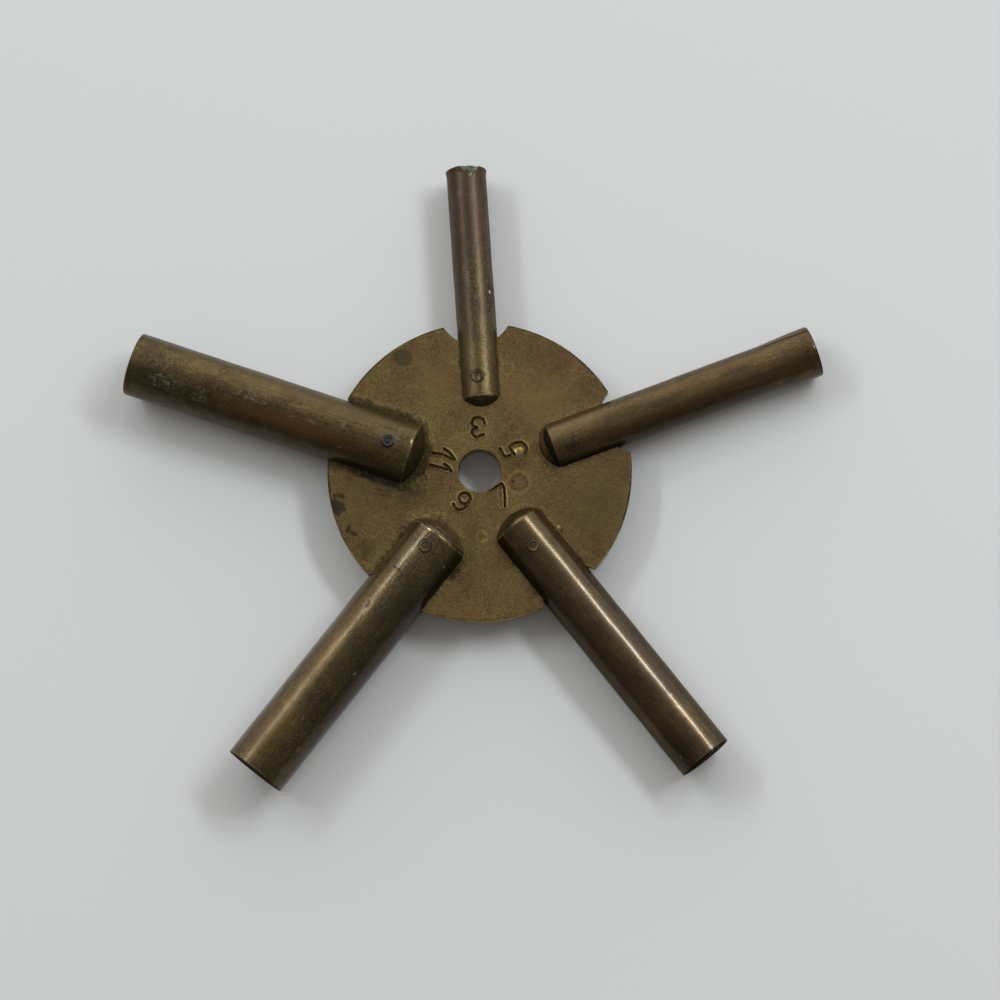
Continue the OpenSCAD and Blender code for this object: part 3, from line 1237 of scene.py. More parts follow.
    def stamp(self, obj: Piece) -> None:
        """Presses the numerals into the upper face and leaves the plate a little uneven."""
        points = Bench.points(obj)
        flat = points[:, :2]
        faces = ease(np.abs(points[:, 2]), self.thick / 2.0 - self.edge * 0.6, self.thick / 2.0)
        waves = np.sin(flat[:, 0] * 0.41 + 1.3) * np.sin(flat[:, 1] * 0.37 + 0.4)
        points[:, 2] += self.WAVE_HEIGHT * waves * faces
        upper = points[:, 2] > self.thick / 2.0 - self.edge
        for numeral in self.numerals:
            far = numeral.distance(flat)
            half = numeral.width / 2.0
            press = numeral.depth * ease(far, half + self.PRESS_OUT, half - self.PRESS_IN)
            lip = self.stamp_lip * bump_at(far - half - self.LIP_OUT, self.LIP_WIDTH)
            points[:, 2] += np.where(upper, (lip - press) * faces, 0.0)
            log.info("%s: stamped %s", self.name, numeral.text)
        Bench.move_points(obj, points)

    def cut_notches(self, obj: Piece, arms: Sequence[Arm]) -> None:
        """Cuts the round notch and the rivet hole of each arm."""
        high = self.thick + 2.0 * Bench.SPARE
        pins = []
        for arm in arms:
            pins.append(Bench.pin(self.notch, *self.notch_middle(arm), high, self.NOTCH_FACETS))
            rivet = arm.on_disc(arm.rivet_along, arm.rivet_side)
            pins.append(Bench.pin(self.RIVET_HOLE, *rivet, high, self.CORNER_FACETS))
        Bench.cut(obj, Bench.join(pins))
        wedges = [self.corner_cutter(arm, side) for arm in arms for side in (-1.0, 1.0)]
        Bench.cut(obj, Bench.join(wedges))

    def notch_middle(self, arm: Arm) -> Vector:
        """Centre of the round notch under an arm."""
        return arm.on_disc(self.radius + self.notch_out)

    def corner_cutter(self, arm: Arm, side: float) -> Piece:
        """Makes a cutter that rounds one of the two corners between an arm's notch and the rim.

        Args:
            arm: The arm whose notch it is.
            side: 1 for the corner to the left of the arm, -1 for the one to the right.

        Returns:
            The cutter.
        """
        notch = self.notch_middle(arm)
        far, inner, outer = notch.length, self.radius - arm.corner, self.notch + arm.corner
        ahead = (far**2 + inner**2 - outer**2) / (2.0 * far)
        line = notch.normalized()
        across = Vector((-line.y, line.x)) * side * math.sqrt(inner**2 - ahead**2)
        middle = line * ahead + across
        on_rim = middle.normalized() * (self.radius + 0.02)
        on_notch = middle + (notch - middle).normalized() * (arm.corner + 0.02)
        beyond = on_rim + on_notch - middle
        wedge = Bench.block((-1.0, -1.0, -self.thick), (1.0, 1.0, self.thick))
        Bench.take(wedge)
        bpy.ops.object.transform_apply(location=True, rotation=True, scale=True)
        corners = {(-1, -1): middle, (1, -1): on_rim, (1, 1): beyond, (-1, 1): on_notch}
        points = Bench.points(wedge)
        for row in points:
            row[:2] = corners[(round(row[0]), round(row[1]))]
        Bench.move_points(wedge, points)
        Bench.weld(wedge)
        Bench.cut(wedge, Bench.pin(arm.corner, *middle, self.thick * 4.0, self.CORNER_FACETS))
        return wedge

    def mark_wear(self, obj: Piece, arms: Sequence[Arm]) -> None:
        """Marks dirt beside the arms and in the numerals, and rubbed edges; edges are brighter towards the
        bottom of the picture and the rim is darker away from it.
        """
        points = Bench.points(obj)
        flat = points[:, :2]
        out = np.hypot(*flat.T)
        dirt_and_shade = self.grime(flat, arms)
        lips = np.zeros(len(flat))
        upper = points[:, 2] > self.UPPER
        rim = bump_at(out - self.radius, self.RIM_WEAR)
        edge = np.maximum(rim, bump_at(out - self.hole, self.HOLE_WEAR))
        for arm in arms:
            notch = np.hypot(*(flat - np.array(self.notch_middle(arm))).T)
            edge = np.maximum(edge, bump_at(notch - self.notch, self.NOTCH_WEAR))
        for numeral in self.numerals:
            far = np.where(upper, numeral.distance(flat), np.inf)
            dirt_and_shade = np.maximum(dirt_and_shade, numeral.dirt * ease(far, 0.19, 0.06))
            lips = np.maximum(lips, 0.6 * bump_at(far - 0.27, 0.07))
        # Edges brighter towards the bottom of the picture, the rim darker on the other sides.
        bright_edge_side = ease(turned(flat, self.bright_edge_heading)[0], 0.0, 0.8 * self.radius)
        Bench.mark(obj, "dirt_and_shade", np.maximum(dirt_and_shade, rim * (1.0 - bright_edge_side)))
        Bench.mark(obj, "edge", np.maximum(lips, edge * (0.15 + 0.85 * bright_edge_side)))
        Bench.mark(obj, "growth", self.growth(flat) * upper)

    def dress(self, obj: Piece, paint: BrassPaint) -> None:
        """Gives the disc its finish."""
        obj.data.materials.append(paint.mix("disc_brass", self.finish, marks=self.marks))


@dataclass(frozen=True)
class Strip:
    """An oblong soft lamp, placed by two directions that its ends lie in, in view terms."""

    name: str
    low_end: Place
    high_end: Place
    width: float
    level: float
    far: float = 0.7
    colour: Place = (0.92, 1.0, 1.06)


@dataclass
class Studio:
    """Floor, light and camera.

    The eye is in millimetres and its turn in degrees. The floor's normal and its drop below the
    hub are those of the plane that the three thickest arms rest on. The sky is its level at shares
    of the way from behind the eye to beyond the top of the picture.
    """

    lens: float = 136.8
    eye: Place = (-43.367, 84.575, 465.311)
    eye_turn: Place = (11.0038, 1.375, -161.1487)
    floor_normal: Place = (0.01543, 0.01151, 0.99981)
    floor_drop: float = 3.8756
    floor_size: float = 12.0
    floor_colour: Colour = (240, 240, 239)
    sky: tuple[Point, ...] = (
        (0.0, 0.15), (0.3, 0.18), (0.5, 0.275), (0.6, 0.38), (0.76, 0.7), (0.9, 1.1), (1.0, 1.4)
    )
    sky_colour: Place = (1.035, 1.0, 0.94)
    far_sky_colour: Place = (0.985, 1.0, 0.99)
    strips: tuple[Strip, ...] = (
        Strip("right_strip", (0.648, 0.327, 0.722), (0.364, 0.751, 0.6), 0.085, 13.0),
        Strip("left_strip", (-0.69, 0.29, 0.67), (-0.513, 0.752, 0.487), 0.075, 9.0),
    )

    @property
    def view(self) -> Matrix:
        """The turn from view terms (right, up, towards the eye) to the part's frame."""
        return Euler([math.radians(angle) for angle in self.eye_turn]).to_matrix()

    def build(self) -> None:
        """Sets up the whole studio."""
        self.lay_floor()
        self.hang_sky()
        for strip in self.strips:
            self.hang_strip(strip)
        self.stand_camera()
        bpy.context.scene.view_settings.view_transform = "Standard"

    def lay_floor(self) -> None:
        """Lays a wide pale floor under the three points that the key rests on."""
        Bench.clear()
        normal = Vector(self.floor_normal)
        bpy.ops.mesh.primitive_plane_add(
            size=self.floor_size, location=-normal * self.floor_drop * MM,
            rotation=normal.to_track_quat("Z", "Y").to_euler(),
        )
        floor = bpy.context.object
        floor.name = "floor"
        material = bpy.data.materials.new("pale_floor")
        material.use_nodes = True
        shader = material.node_tree.nodes["Principled BSDF"]
        shader.inputs["Base Color"].default_value = tint(self.floor_colour)
        shader.inputs["Roughness"].default_value = 0.9
        shader.inputs["Specular IOR Level"].default_value = 0.1
        floor.data.materials.append(material)

    def hang_sky(self) -> None:
        """Soft light all round, brighter beyond the top of the picture than behind the eye."""
        world = bpy.data.worlds.new("soft_room")
        world.use_nodes = True
        world.node_tree.nodes.clear()
        lay = Nodes(world.node_tree)
        beyond = Vector((*self.view.col[1].to_2d(), 0.0)).normalized()
        facing = lay.add("TexCoord").outputs["Generated"]
        share = lay.add("VectorMath", {0: facing, 1: beyond}, operation="DOT_PRODUCT").outputs["Value"]
        ramp = lay.add("ValToRGB", {0: lay.span(share, -1.0, 1.0)})
        stops = ramp.color_ramp.elements
        near, far = Vector(self.sky_colour), Vector(self.far_sky_colour)
        for number, (position, level) in enumerate(self.sky):
            stop = stops[number] if number < 2 else stops.new(position)
            stop.position = position
            colour = near.lerp(far, max(0.0, 2.0 * position - 1.0))
            stop.color = (*(colour * level), 1.0)
        light = lay.add("Background", {"Color": ramp.outputs[0], "Strength": 1.0})
        lay.tree.links.new(light.outputs[0], lay.tree.nodes.new("ShaderNodeOutputWorld").inputs[0])
        bpy.context.scene.world = world

    def hang_strip(self, strip: Strip) -> None:
        """Hangs one strip, facing the hub."""
        low, high = (
            (self.view @ Vector(end)).normalized() * strip.far for end in (strip.low_end, strip.high_end)
        )
        middle = (low + high) / 2.0
        length = (high - low).length
        away = middle.normalized()
        along = (high - low).normalized()
        turn = Matrix((along.cross(away).normalized(), along, away)).transposed()
        lamp = bpy.data.lights.new(strip.name, "AREA")
        lamp.shape = "RECTANGLE"
        lamp.size, lamp.size_y = strip.width, length
        lamp.color = strip.colour
        lamp.energy = strip.level * math.pi * strip.width * length
        obj = bpy.data.objects.new(strip.name, lamp)
        obj.matrix_world = Matrix.Translation(middle) @ turn.to_4x4()
        bpy.context.scene.collection.objects.link(obj)

    def stand_camera(self) -> None:
        """Stands the camera where the picture was taken from."""
        data = bpy.data.cameras.new("camera")
        data.lens = self.lens
        data.sensor_width = 36.0
        data.clip_start = 0.01
        camera = bpy.data.objects.new("camera", data)
        camera.matrix_world = Matrix.Translation(Vector(self.eye) * MM) @ self.view.to_4x4()
        bpy.context.scene.collection.objects.link(camera)
        bpy.context.scene.camera = camera


DISC_FINISH = BrassFinish(
    base=(111, 91, 58), dark=(93, 69, 46), light=(124, 107, 61), rough=0.44, coat=0.05, patch=0.16,
    grain=5.6, speckle=0.43, streak=0.0, scratch=0.12, crust_and_shade_amount=0.8, rubbed=0.5, relief=0.016,
    bloom=((58, 48, 26), (92, 78, 46), (152, 132, 88)),
)
ROD_FINISH = BrassFinish(
    base=(91, 73, 48), dark=(68, 53, 34), light=(107, 87, 55), grain=4.6, speckle=0.48, crust_and_shade_amount=0.6,
    rubbed=0.45, relief=0.0083,
)
PIN_FINISH = replace(
    ROD_FINISH, base=(88, 77, 56), dark=(62, 54, 40), light=(108, 96, 70), streak=0.0, rough=0.34,
    rubbed=0.3,
)

NUMERALS = (
    Numeral("3", (2.02, -5.22), 108.9, (
        ((-0.85, -0.48), (-0.64, -1.0), (-0.06, -1.27), (0.49, -1.08), (0.75, -0.54), (0.61, -0.1),
         (0.08, 0.1)),
        ((0.08, 0.1), (0.61, 0.34), (0.75, 0.73), (0.46, 1.17), (-0.02, 1.32), (-0.4, 1.08),
         (-0.73, 0.96)),
    )),
    Numeral("5", (-3.19, -3.78), 32.7, (
        ((0.64, 1.57), (0.05, 1.42), (-0.53, 1.26), (-0.5, 0.57)),
        ((-0.5, 0.03), (0.11, 0.27), (0.54, 0.36), (0.83, -0.06), (0.89, -0.62), (0.75, -1.27),
         (0.23, -1.63), (-0.32, -1.64), (-0.69, -1.31)),
    ), dirt=0.48),
    Numeral("7", (-3.39, 2.32), -42.0, (
        ((-0.69, 1.28), (0.12, 1.27), (1.08, 1.32)),
        ((1.12, 1.2), (1.03, 0.59), (0.55, -0.48), (-0.02, -1.5)),
    ), width=0.24, dirt=0.34),
    Numeral("7", (-3.39, 2.32), -42.0, (
        ((0.68, 1.0), (0.09, -0.11), (-0.46, -1.25)),
    ), width=0.22, depth=0.1, dirt=0.14),
    Numeral("9", (0.79, 4.38), -105.0, (
        ((0.64, 0.87), (0.76, 0.52), (0.7, 0.16), (0.46, -0.11), (0.11, -0.23), (-0.25, -0.15),
         (-0.53, 0.09), (-0.66, 0.44), (-0.59, 0.8), (-0.35, 1.08), (0.0, 1.2), (0.36, 1.12),
         (0.64, 0.87)),
        ((0.8, 0.45), (0.82, -0.17), (0.64, -0.76), (0.3, -1.1), (-0.28, -1.19), (-0.71, -0.9)),
    )),
    Numeral("11", (4.82, 0.4), -179.0, (
        ((-0.71, -1.44), (-0.88, -0.34), (-0.67, 1.34)),
        ((-1.65, -0.24), (-1.39, 0.55), (-0.78, 1.38)),
        ((0.83, -1.29), (0.79, -0.2), (0.78, 0.85)),
        ((0.21, 0.41), (0.4, 0.98), (0.83, 1.44)),
    )),
)


def stain_and_painted_light(
    x: float, y: float, reach: Point, colour: Colour, strength: float,
    up: float = HubDisc.thick / 2.0, **more: float,
) -> Mark:
    """A mark on the disc's upper face, such as a spot, a ring, a painted shadow or a painted glint.

    Args:
        x: Its place in the part's frame, in millimetres.
        y: The same.
        reach: Half sizes along x and y, in millimetres.
        colour: Its colour.
        strength: How much of it shows.
        up: Its height.
        **more: Other fields of a mark.

    Returns:
        The mark.
    """
    return Mark(x, y, up, (*reach, 1.0), colour, strength, **more)


DISC_MARKS = (
    stain_and_painted_light(13.9, -10.65, (1.5, 1.3), (62, 58, 40), 0.65),
    stain_and_painted_light(15.6, 10.05, (1.4, 1.1), (30, 30, 33), 0.92, fray=2.0, soft=0.25),
    stain_and_painted_light(15.2, 8.5, (0.8, 0.4), (40, 34, 28), 0.8, swing=20.0, fray=2.4, soft=0.4),
    stain_and_painted_light(16.1, 8.7, (0.4, 0.4), (40, 34, 28), 0.7, fray=2.4, soft=0.5),
    stain_and_painted_light(13.1, 12.2, (0.3, 0.7), (50, 34, 22), 0.85, fray=2.4, soft=0.4),
    stain_and_painted_light(12.3, 12.5, (0.65, 0.3), (50, 34, 22), 0.8, fray=2.4, soft=0.4),
    stain_and_painted_light(10.3, 13.9, (1.7, 1.7), (60, 54, 32), 0.6, fray=1.2, soft=0.7),
    stain_and_painted_light(7.3, 5.0, (4.0, 2.7), (58, 53, 33), 0.7, swing=10.0, fray=1.2, soft=0.9),
    stain_and_painted_light(11.2, 6.2, (3.0, 1.4), (62, 56, 38), 0.5, swing=5.0, fray=1.2, soft=0.9),
    stain_and_painted_light(17.4, -5.7, (0.7, 0.7), (112, 74, 44), 0.5, fray=0.6, soft=0.7),
    stain_and_painted_light(-5.1, -0.2, (1.0, 1.0), (122, 90, 68), 0.55, fray=1.2, soft=0.6),
    stain_and_painted_light(-5.1, -0.2, (1.75, 1.75), (148, 120, 72), 0.5, ring=1.0, fray=0.6),
    stain_and_painted_light(-5.1, -0.2, (1.2, 1.2), (76, 58, 40), 0.35, ring=1.0, fray=0.8),
    stain_and_painted_light(-4.4, -0.1, (0.22, 0.3), (48, 36, 26), 0.7),
    stain_and_painted_light(0.92, -13.5, (0.85, 0.9), (142, 120, 78), 0.65, ring=1.0, fray=1.2),
    stain_and_painted_light(0.9, -13.5, (0.5, 0.6), (76, 62, 40), 0.4, ring=1.0, fray=1.6),
    stain_and_painted_light(1.11, -12.3, (0.6, 0.6), (138, 116, 76), 0.6, ring=1.0, fray=1.4),
    stain_and_painted_light(-2.28, -6.65, (0.95, 0.95), (132, 104, 58), 0.5, ring=1.0, fray=0.7),
    stain_and_painted_light(-2.96, 7.75, (0.8, 0.85), (156, 130, 78), 0.75, ring=1.0, fray=1.1),
    stain_and_painted_light(-2.81, 9.5, (0.55, 0.55), (150, 124, 74), 0.75, ring=1.0, fray=1.3),
    stain_and_painted_light(-5.2, 17.4, (1.0, 0.7), (136, 92, 52), 0.5, fray=0.7, soft=0.6),
    stain_and_painted_light(4.5, 7.5, (0.8, 0.3), (150, 128, 86), 0.6, swing=20.0, fray=0.8),
    stain_and_painted_light(6.5, 9.6, (0.25, 0.5), (150, 136, 106), 0.6, fray=2.4, soft=0.5),
    stain_and_painted_light(-11.6, 3.54, (0.26, 0.2), (190, 172, 132), 0.8, fray=1.0),
    stain_and_painted_light(-12.2, 3.9, (0.2, 0.45), (54, 44, 26), 0.7),
    stain_and_painted_light(-3.78, -4.1, (0.8, 0.65), (150, 126, 70), 0.6, up=0.7, fray=1.4, soft=0.6),
    # Bare metal in the bowl of the 5, brightened into painted glints by this mark and the next.
    stain_and_painted_light(-3.95, -4.35, (0.34, 0.22), (226, 198, 120), 0.8, up=0.7, fray=1.4),
    stain_and_painted_light(-3.5, -4.0, (0.24, 0.34), (226, 198, 120), 0.75, up=0.7, fray=1.4),
    stain_and_painted_light(0.65, 4.03, (0.42, 0.42), (130, 98, 68), 0.5, fray=0.8, soft=0.6),
    # Wide soft patches: the face lighter towards the top of the picture, darker on the left, the right and
    # towards the bottom, reddish at the upper right rim.
    stain_and_painted_light(-4.1, -17.0, (5.0, 3.0), (104, 76, 52), 0.45, fray=0.8, soft=0.9),
    stain_and_painted_light(-3.4, -11.0, (7.0, 5.0), (138, 113, 68), 0.55, fray=1.0, soft=0.95),
    stain_and_painted_light(8.5, -9.0, (4.5, 4.0), (130, 106, 62), 0.4, fray=0.8, soft=0.9),
    stain_and_painted_light(14.0, 9.0, (4.5, 6.0), (92, 76, 50), 0.4, fray=0.8, soft=0.9),
    stain_and_painted_light(-15.5, -0.5, (6.5, 7.5), (88, 72, 48), 0.62, fray=0.8, soft=0.9),
    stain_and_painted_light(-2.2, 10.0, (1.4, 4.2), (84, 73, 40), 0.6, fray=1.0, soft=0.8),
    # Painted shadow of arm 11 on the face beside it.
    stain_and_painted_light(11.8, 5.0, (6.0, 0.85), (26, 21, 14), 0.75, fray=0.9, soft=0.7),
)

DISC_SPECKLES = (
    Speckle((10.4, 6.2), (2.8, 0.9), 8.0, 0.58),
    Speckle((6.6, 3.0), (1.3, 2.6), 20.0, 0.54),
    Speckle((6.65, 10.3), (0.6, 1.5), 0.0, 0.7),
    Speckle((11.5, -3.9), (4.5, 0.9), 0.0, 0.45),
    Speckle((4.6, 3.4), (0.9, 0.9), 0.0, 0.4),
)


def arm_three() -> Arm:
    """The thinnest arm, with a chipped mouth."""
    arm = Arm(
        size=3, diameter=5.0, start=9.4, length=29.65, dome=1.3,
        heading=-67.2, shift=-0.9, rivet_side=0.27, across_flats=3.0,
        finish=replace(
            ROD_FINISH, base=(85, 71, 50), dark=(64, 54, 38), rough=0.4, coat=0.33, coat_rough=0.34,
            speckle=0.76, relief=0.035, graze=(215, 212, 205),
            bloom=((84, 92, 72), (150, 160, 136), (206, 210, 194)),
        ),
        roll=45.0, slot_end=16.97, rivet_circle=11.8, rivet_hole=0.81, mouth=Mouth.CHIPPED, dome_dirt_and_shade=1.0,
        grime=0.4, grime_level=0.3, hole_dirt=0.6,
    )
    arm.marks = (
        arm.band(34.0, 11.0, (88, 65, 51), 0.6, 0.06),
        arm.band(13.0, 9.0, (106, 89, 52), 0.45, 0.0),
        arm.smudge_and_painted_light(24.0, 30.0, (8.0, 1.4), (64, 58, 44), 0.4, fray=1.2),
        arm.smudge_and_painted_light(31.0, 3.0, (7.0, 0.7), (62, 56, 46), 0.55, fray=1.0),
        arm.around(35.6, 27.0, (0.5, 0.25), (132, 106, 84), 0.45, fray=1.0),
        arm.around(22.65, -51.0, (0.26, 0.24), (212, 192, 150), 0.9),
        arm.around(28.8, -53.0, (0.5, 0.4), (140, 118, 96), 0.45, ring=1.0, fray=1.2),
        arm.around(11.5, -12.0, (1.8, 0.8), (150, 128, 76), 0.4, fray=1.6),
        # Painted highlight: lightens the right-hand highlight line.
        arm.smudge_and_painted_light(23.0, -24.0, (5.0, 0.7), (116, 97, 68), 0.45),
        arm.smudge_and_painted_light(19.0, 18.0, (5.0, 0.9), (62, 54, 38), 0.4),
        arm.band(38.0, 3.5, (60, 46, 36), 0.4, 0.0),
        # Painted shade: dims the left-hand highlight line.
        arm.smudge_and_painted_light(32.0, 30.0, (8.0, 1.0), (64, 48, 38), 0.4),
        arm.smudge_and_painted_light(33.0, -24.0, (7.0, 0.7), (104, 84, 68), 0.35),
        arm.around(11.77, 6.0, (1.05, 1.05), (36, 30, 20), 0.45, ring=1.0, fray=1.8),
    )
    return arm


def arm_five() -> Arm:
    """The arm for size 5, with a flared mouth and a hair crack."""
    arm = Arm(
        size=5, diameter=6.0, start=9.7, length=35.0, dome=1.7,
        heading=-140.7, shift=-0.3, rivet_side=-1.0, across_flats=3.5,
        finish=replace(
            ROD_FINISH, rough=0.36, rubbed=0.2, crust_and_shade_amount=1.0, crust_and_shade=(32, 24, 15), grime=(50, 39, 25),
        ),
        slot_end=17.33, rivet_hole=0.82, mouth=Mouth.FLARED, dome_dirt_and_shade=1.0, dome_fade=0.5, grime=0.35,
        grime_level=0.3, hole_dirt=0.3,
        dents=(Dent(44.7, -1.0, (0.25, 0.3), 0.06),),
        seam=((45.2, 42.0), (42.6, 44.0), (41.0, 48.0), (38.4, 49.5)),
    )
    arm.marks = (
        # The next three marks are painted sheen on the top and upper flank of the rod.
        arm.smudge_and_painted_light(26.0, -8.0, (20.0, 1.7), (122, 98, 64), 0.45),
        arm.smudge_and_painted_light(30.0, 32.0, (18.0, 1.5), (114, 90, 60), 0.4),
        arm.smudge_and_painted_light(13.0, 32.0, (7.0, 1.8), (122, 101, 70), 0.5),
        arm.smudge_and_painted_light(26.0, -40.0, (20.0, 1.8), (88, 62, 38), 0.45),
        arm.around(19.5, 10.0, (4.5, 0.9), (62, 57, 40), 0.5, fray=1.4, soft=0.7),
        arm.around(24.5, 2.0, (3.0, 0.8), (58, 54, 38), 0.6, fray=1.6, soft=0.6),
        arm.around(34.0, 10.0, (3.5, 0.6), (62, 52, 38), 0.5, fray=1.4, soft=0.7),
        # Painted shade on the lower flank.
        arm.around(28.0, -68.0, (24.0, 1.9), (42, 34, 23), 0.75, fray=0.6, soft=0.6),
        arm.around(36.8, 9.0, (0.3, 0.2), (134, 112, 82), 0.4, fray=1.4, soft=0.6),
        arm.around(44.6, -1.0, (0.14, 0.34), (206, 192, 164), 0.85),
        # Painted light on the dome.
        Mark(8.2, 0.0, 1.0, (1.0, 2.6, 2.0), (150, 128, 88), 0.85, soft=0.5),
    )
    return arm


def arm_seven() -> Arm:
    """The arm for size 7, polished by use."""
    arm = Arm(
        size=7, diameter=7.0, start=8.4, length=37.12, dome=1.7,
        heading=-212.8, shift=-0.5, rivet_side=-0.4, across_flats=4.0,
        finish=replace(
            ROD_FINISH, base=(86, 69, 48), rough=0.27, coat=0.3, relief=0.011, speckle=0.36, crust_and_shade_amount=0.75,
            crust_and_shade=(32, 26, 17), grime=(58, 48, 30), graze=(190, 184, 170),
        ),
        slot_end=17.81, rivet_hole=0.8, mouth_lean=3.0, dome_dirt_and_shade=0.35, corner=0.55, grime=0.45,
        grime_level=0.3,
    )
    arm.marks = (
        arm.smudge_and_painted_light(27.0, -38.0, (22.0, 2.2), (82, 56, 36), 0.5, fray=0.7),
        arm.smudge_and_painted_light(13.0, 8.0, (8.0, 2.4), (88, 76, 48), 0.45),
        # Painted shade on the lower flank.
        arm.around(27.0, -68.0, (26.0, 2.2), (42, 34, 24), 0.75, fray=0.6, soft=0.6),
        # Painted shade on the upper flank.
        arm.around(27.0, 78.0, (26.0, 2.0), (64, 52, 36), 0.6, fray=0.6, soft=0.7),
        arm.smudge_and_painted_light(30.0, 21.0, (22.0, 1.9), (90, 73, 52), 0.4, fray=1.0, gloss=1.5),
        arm.around(19.97, 18.0, (0.4, 0.2), (150, 134, 100), 0.4, fray=1.2, dull=0.15),
        arm.around(36.4, 24.0, (0.7, 0.35), (70, 56, 38), 0.6, fray=1.4, dull=0.2),
        arm.around(37.0, 22.0, (0.3, 0.15), (140, 128, 100), 0.4, fray=1.0),
        # Painted shade beside the highlight, narrowing it.
        arm.smudge_and_painted_light(29.0, 37.0, (20.0, 0.9), (62, 49, 34), 0.5),
        arm.around(43.5, -50.0, (4.5, 2.3), (42, 33, 23), 0.65, fray=0.6, soft=0.7),
        arm.around(43.67, -46.0, (0.3, 0.11), (136, 116, 88), 0.5, swing=-31.0, fray=0.6),
        arm.around(44.48, -40.0, (0.6, 0.1), (124, 104, 78), 0.45, swing=43.0, fray=0.6),
        # Painted shade on the face of the mouth.
        arm.mouth_shade(),
        Mark(7.6, 0.0, 0.0, (1.1, 4.2, 4.2), (80, 69, 48), 0.6, soft=0.3),
    )
    return arm


def arm_nine() -> Arm:
    """The arm for size 9, with a nick across its top."""
    arm = Arm(
        size=9, diameter=8.0, start=9.9, length=36.7, dome=2.1,
        heading=-289.2, shift=1.3, rivet_side=-0.3, across_flats=4.5,
        finish=replace(
            ROD_FINISH, base=(89, 74, 48), light=(105, 89, 55), rough=0.29, coat=0.3, coat_rough=0.19,
            speckle=0.62, relief=0.021, rubbed=0.7, crust_and_shade=(32, 26, 17), grime=(58, 48, 30),
        ),
        slot_end=18.48, rivet_hole=0.85, mouth_lean=2.0, dome_dirt_and_shade=0.3, dome_rings=0.018, grime=0.8,
        grime_level=0.45,
        dents=(Dent(22.1, -22.0, (0.6, 0.4), 0.05),),
    )
    arm.marks = (
        arm.smudge_and_painted_light(24.0, -45.0, (14.0, 2.6), (118, 90, 58), 0.5, fray=0.7),
        arm.smudge_and_painted_light(42.0, -42.0, (6.0, 2.4), (104, 76, 54), 0.5, fray=0.7),
        arm.smudge_and_painted_light(41.0, 0.0, (5.0, 1.9), (106, 88, 42), 0.55, fray=0.9),
        arm.smudge_and_painted_light(28.0, 6.0, (9.0, 2.0), (82, 70, 40), 0.45, fray=1.0),
        arm.around(20.0, 20.0, (6.0, 1.6), (64, 58, 38), 0.5, fray=1.4, soft=0.7),
        arm.smudge_and_painted_light(40.0, -20.0, (14.0, 1.6), (108, 86, 54), 0.4, dull=0.25),
        # The next two marks are painted highlight on the highlight line, with changes to the coat.
        arm.smudge_and_painted_light(31.0, -22.0, (8.0, 1.3), (118, 97, 64), 0.4, dull=0.12, gloss=-0.25),
        arm.smudge_and_painted_light(13.5, -19.0, (3.0, 1.0), (108, 92, 66), 0.35, gloss=0.8),
        # Painted shade on the lower flank.
        arm.around(28.0, 64.0, (26.0, 2.4), (44, 33, 22), 0.8, fray=0.6, soft=0.6),
        arm.around(16.3, -21.0, (0.13, 0.8), (36, 28, 18), 0.95, fray=0.2, dull=0.3),
        arm.around(22.06, -22.0, (0.75, 0.45), (68, 53, 40), 0.75, fray=1.6, soft=0.5, dull=0.2),
        arm.around(29.74, 41.0, (0.26, 0.22), (180, 156, 120), 0.65),
        arm.around(41.3, 46.0, (0.5, 0.4), (134, 104, 74), 0.45, fray=0.9),
        # The next two marks are painted glints on the dome's edge.
        arm.around(9.98, -18.0, (0.14, 0.35), (228, 210, 170), 0.8, fray=0.6),
        arm.around(9.9, 12.0, (0.12, 0.7), (196, 176, 124), 0.7, fray=0.8),
        arm.around(12.5, 48.0, (0.22, 0.2), (170, 150, 116), 0.7),
        # Painted shade on the face of the mouth.
        arm.mouth_shade(),
    )
    return arm


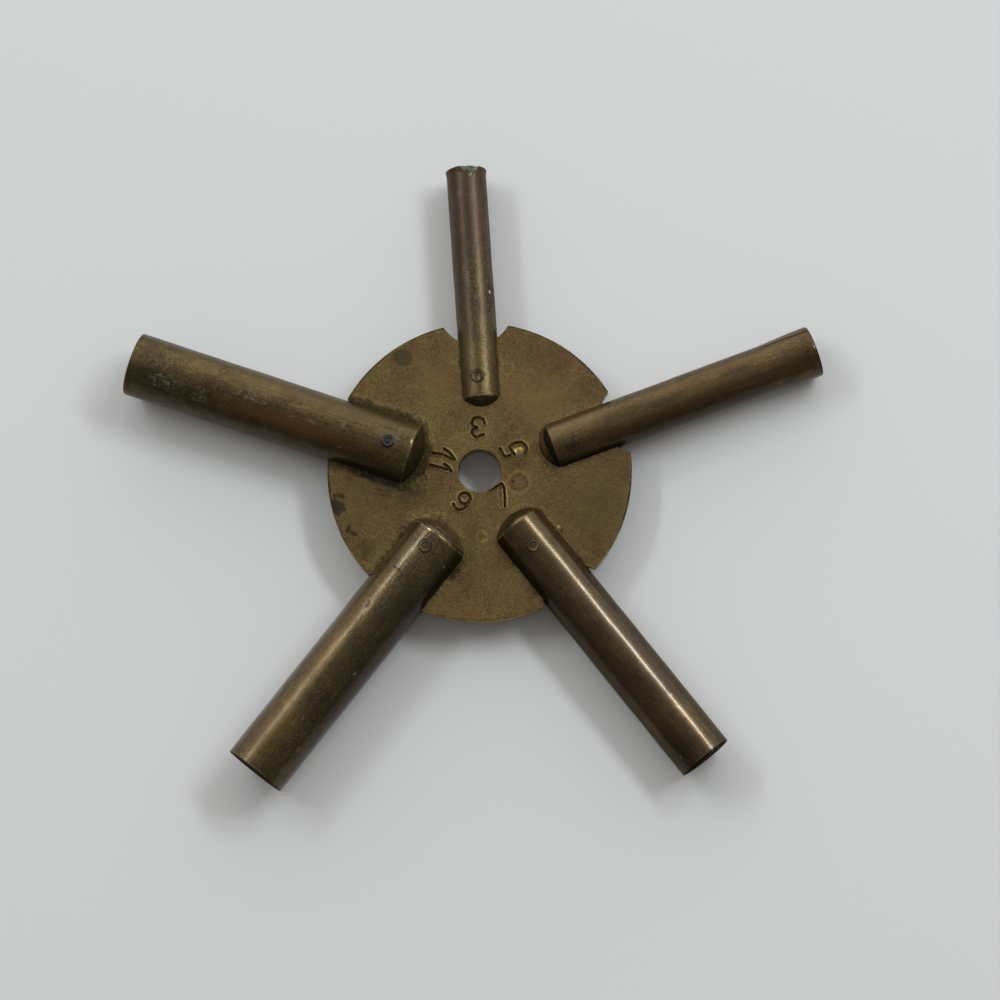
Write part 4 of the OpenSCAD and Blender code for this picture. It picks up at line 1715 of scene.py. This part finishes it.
def arm_eleven() -> Arm:
    """The arm for size 11, with verdigris towards its mouth."""
    arm = Arm(
        size=11, diameter=8.0, start=8.8, length=37.0, dome=1.5,
        heading=0.0, shift=0.7, rivet_side=-0.1, across_flats=5.0,
        finish=replace(
            ROD_FINISH, base=(89, 74, 48), light=(105, 89, 55), rough=0.38, speckle=0.52, coat=0.08,
            relief=0.0125, rubbed=0.3,
            bloom=((46, 42, 31), (92, 86, 64), (172, 166, 142)),
        ),
        slot_end=18.48, rivet_circle=11.78, rivet_hole=0.8, dome_dirt_and_shade=0.75, grime=0.95, grime_level=0.74,
        growths=(
            Growth(42.2, -8.0, (2.4, 1.6), 0.52), Growth(40.6, 22.0, (3.6, 1.5), 0.58),
            Growth(35.9, 26.0, (1.7, 1.5), 0.56), Growth(29.5, 2.0, (4.4, 1.0), 0.46),
        ),
    )
    arm.marks = (
        # Painted sheen on the upper flank.
        arm.smudge_and_painted_light(26.0, -42.0, (19.0, 2.6), (112, 92, 60), 0.46),
        arm.smudge_and_painted_light(24.0, 24.0, (13.0, 1.5), (126, 88, 50), 0.66),
        arm.around(30.0, 4.0, (8.0, 1.0), (70, 61, 46), 0.4, fray=1.2, soft=0.7),
        arm.around(41.5, 20.0, (4.0, 2.0), (58, 52, 42), 0.6, fray=1.0, soft=0.7),
        arm.around(14.0, 45.0, (6.0, 2.0), (64, 42, 28), 0.5, soft=0.8),
        arm.around(34.15, -32.0, (0.6, 0.6), (58, 48, 30), 0.7, ring=1.0),
        arm.around(24.2, 11.0, (0.5, 0.14), (140, 120, 88), 0.6, swing=25.0, fray=1.2),
        arm.around(21.5, 9.0, (0.8, 0.2), (138, 120, 88), 0.6, swing=-15.0, fray=1.6),
        arm.around(17.6, -2.0, (0.2, 0.55), (134, 116, 82), 0.6, fray=1.6),
        # Painted shade on the lower flank.
        arm.around(30.0, 64.0, (26.0, 2.4), (44, 31, 20), 0.6, fray=0.6, soft=0.6),
        arm.around(17.3, 37.0, (0.25, 0.2), (160, 104, 66), 0.55),
        arm.around(11.4, -9.0, (1.5, 1.0), (108, 100, 80), 0.5, fray=1.2, soft=0.6),
        arm.around(10.8, -12.0, (1.0, 0.5), (62, 56, 44), 0.5, fray=1.2, ring=1.0),
        # Painted glint on the dome's edge.
        arm.around(8.95, -15.0, (0.14, 0.32), (210, 192, 152), 0.65, fray=0.6),
        arm.around(11.77, -1.0, (0.92, 0.92), (46, 46, 44), 0.9),
    )
    return arm


def make_rivets() -> tuple[Rivet, ...]:
    """The five rivets, in the order of the arms."""
    return (
        Rivet(
            "setting_pin_3", 0.79,
            replace(PIN_FINISH, base=(78, 66, 45), speckle=0.6, crust_and_shade_amount=0.4, rubbed=0.0),
            dish=0.02, rise=0.0, slit=0.1,
        ),
        Rivet(
            "setting_pin_5", 0.8,
            replace(PIN_FINISH, base=(80, 65, 44), dark=(62, 49, 33), crust_and_shade_amount=0.2, rubbed=0.1),
            dish=0.03, rise=0.02,
        ),
        Rivet(
            "setting_pin_7", 0.76, replace(PIN_FINISH, speckle=0.5, rubbed=0.4), dish=0.035, rise=0.03,
        ),
        Rivet(
            "setting_pin_9", 0.79, replace(PIN_FINISH, base=(72, 65, 46), speckle=0.5, rubbed=0.2),
            dish=0.05, rise=0.04,
        ),
        Rivet(
            "setting_pin_11", 0.77,
            replace(
                PIN_FINISH, base=(56, 55, 52), dark=(38, 38, 37), light=(76, 75, 70), speckle=0.5,
                rubbed=0.1,
            ),
        ),
    )


def settle(obj: Piece, node: str) -> None:
    """Ties a finished piece to the frame and reports it.

    Args:
        obj: The piece.
        node: The node of the frame that it stands for.
    """
    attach(obj, "root")
    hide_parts(node)
    log.info("%s stands for %s: %d faces", obj.name, node, len(obj.data.polygons))


def main() -> None:
    """Builds the key and its studio."""
    logging.basicConfig(level=logging.INFO, format="%(message)s")
    paint = BrassPaint(Effects())
    arms = (arm_three(), arm_five(), arm_seven(), arm_nine(), arm_eleven())
    disc = HubDisc(DISC_FINISH, NUMERALS, DISC_MARKS, DISC_SPECKLES)
    plate = disc.build(arms)
    disc.dress(plate, paint)
    settle(plate, "hub_disc")
    for arm, rivet in zip(arms, make_rivets()):
        rod = arm.build()
        arm.dress(rod, paint)
        settle(rod, f"arm_{arm.size}")
        pin = rivet.build(arm)
        rivet.dress(pin, arm, paint)
        settle(pin, f"rivet_{arm.size}")
    Studio().build()


if __name__ == "__main__":
    main()
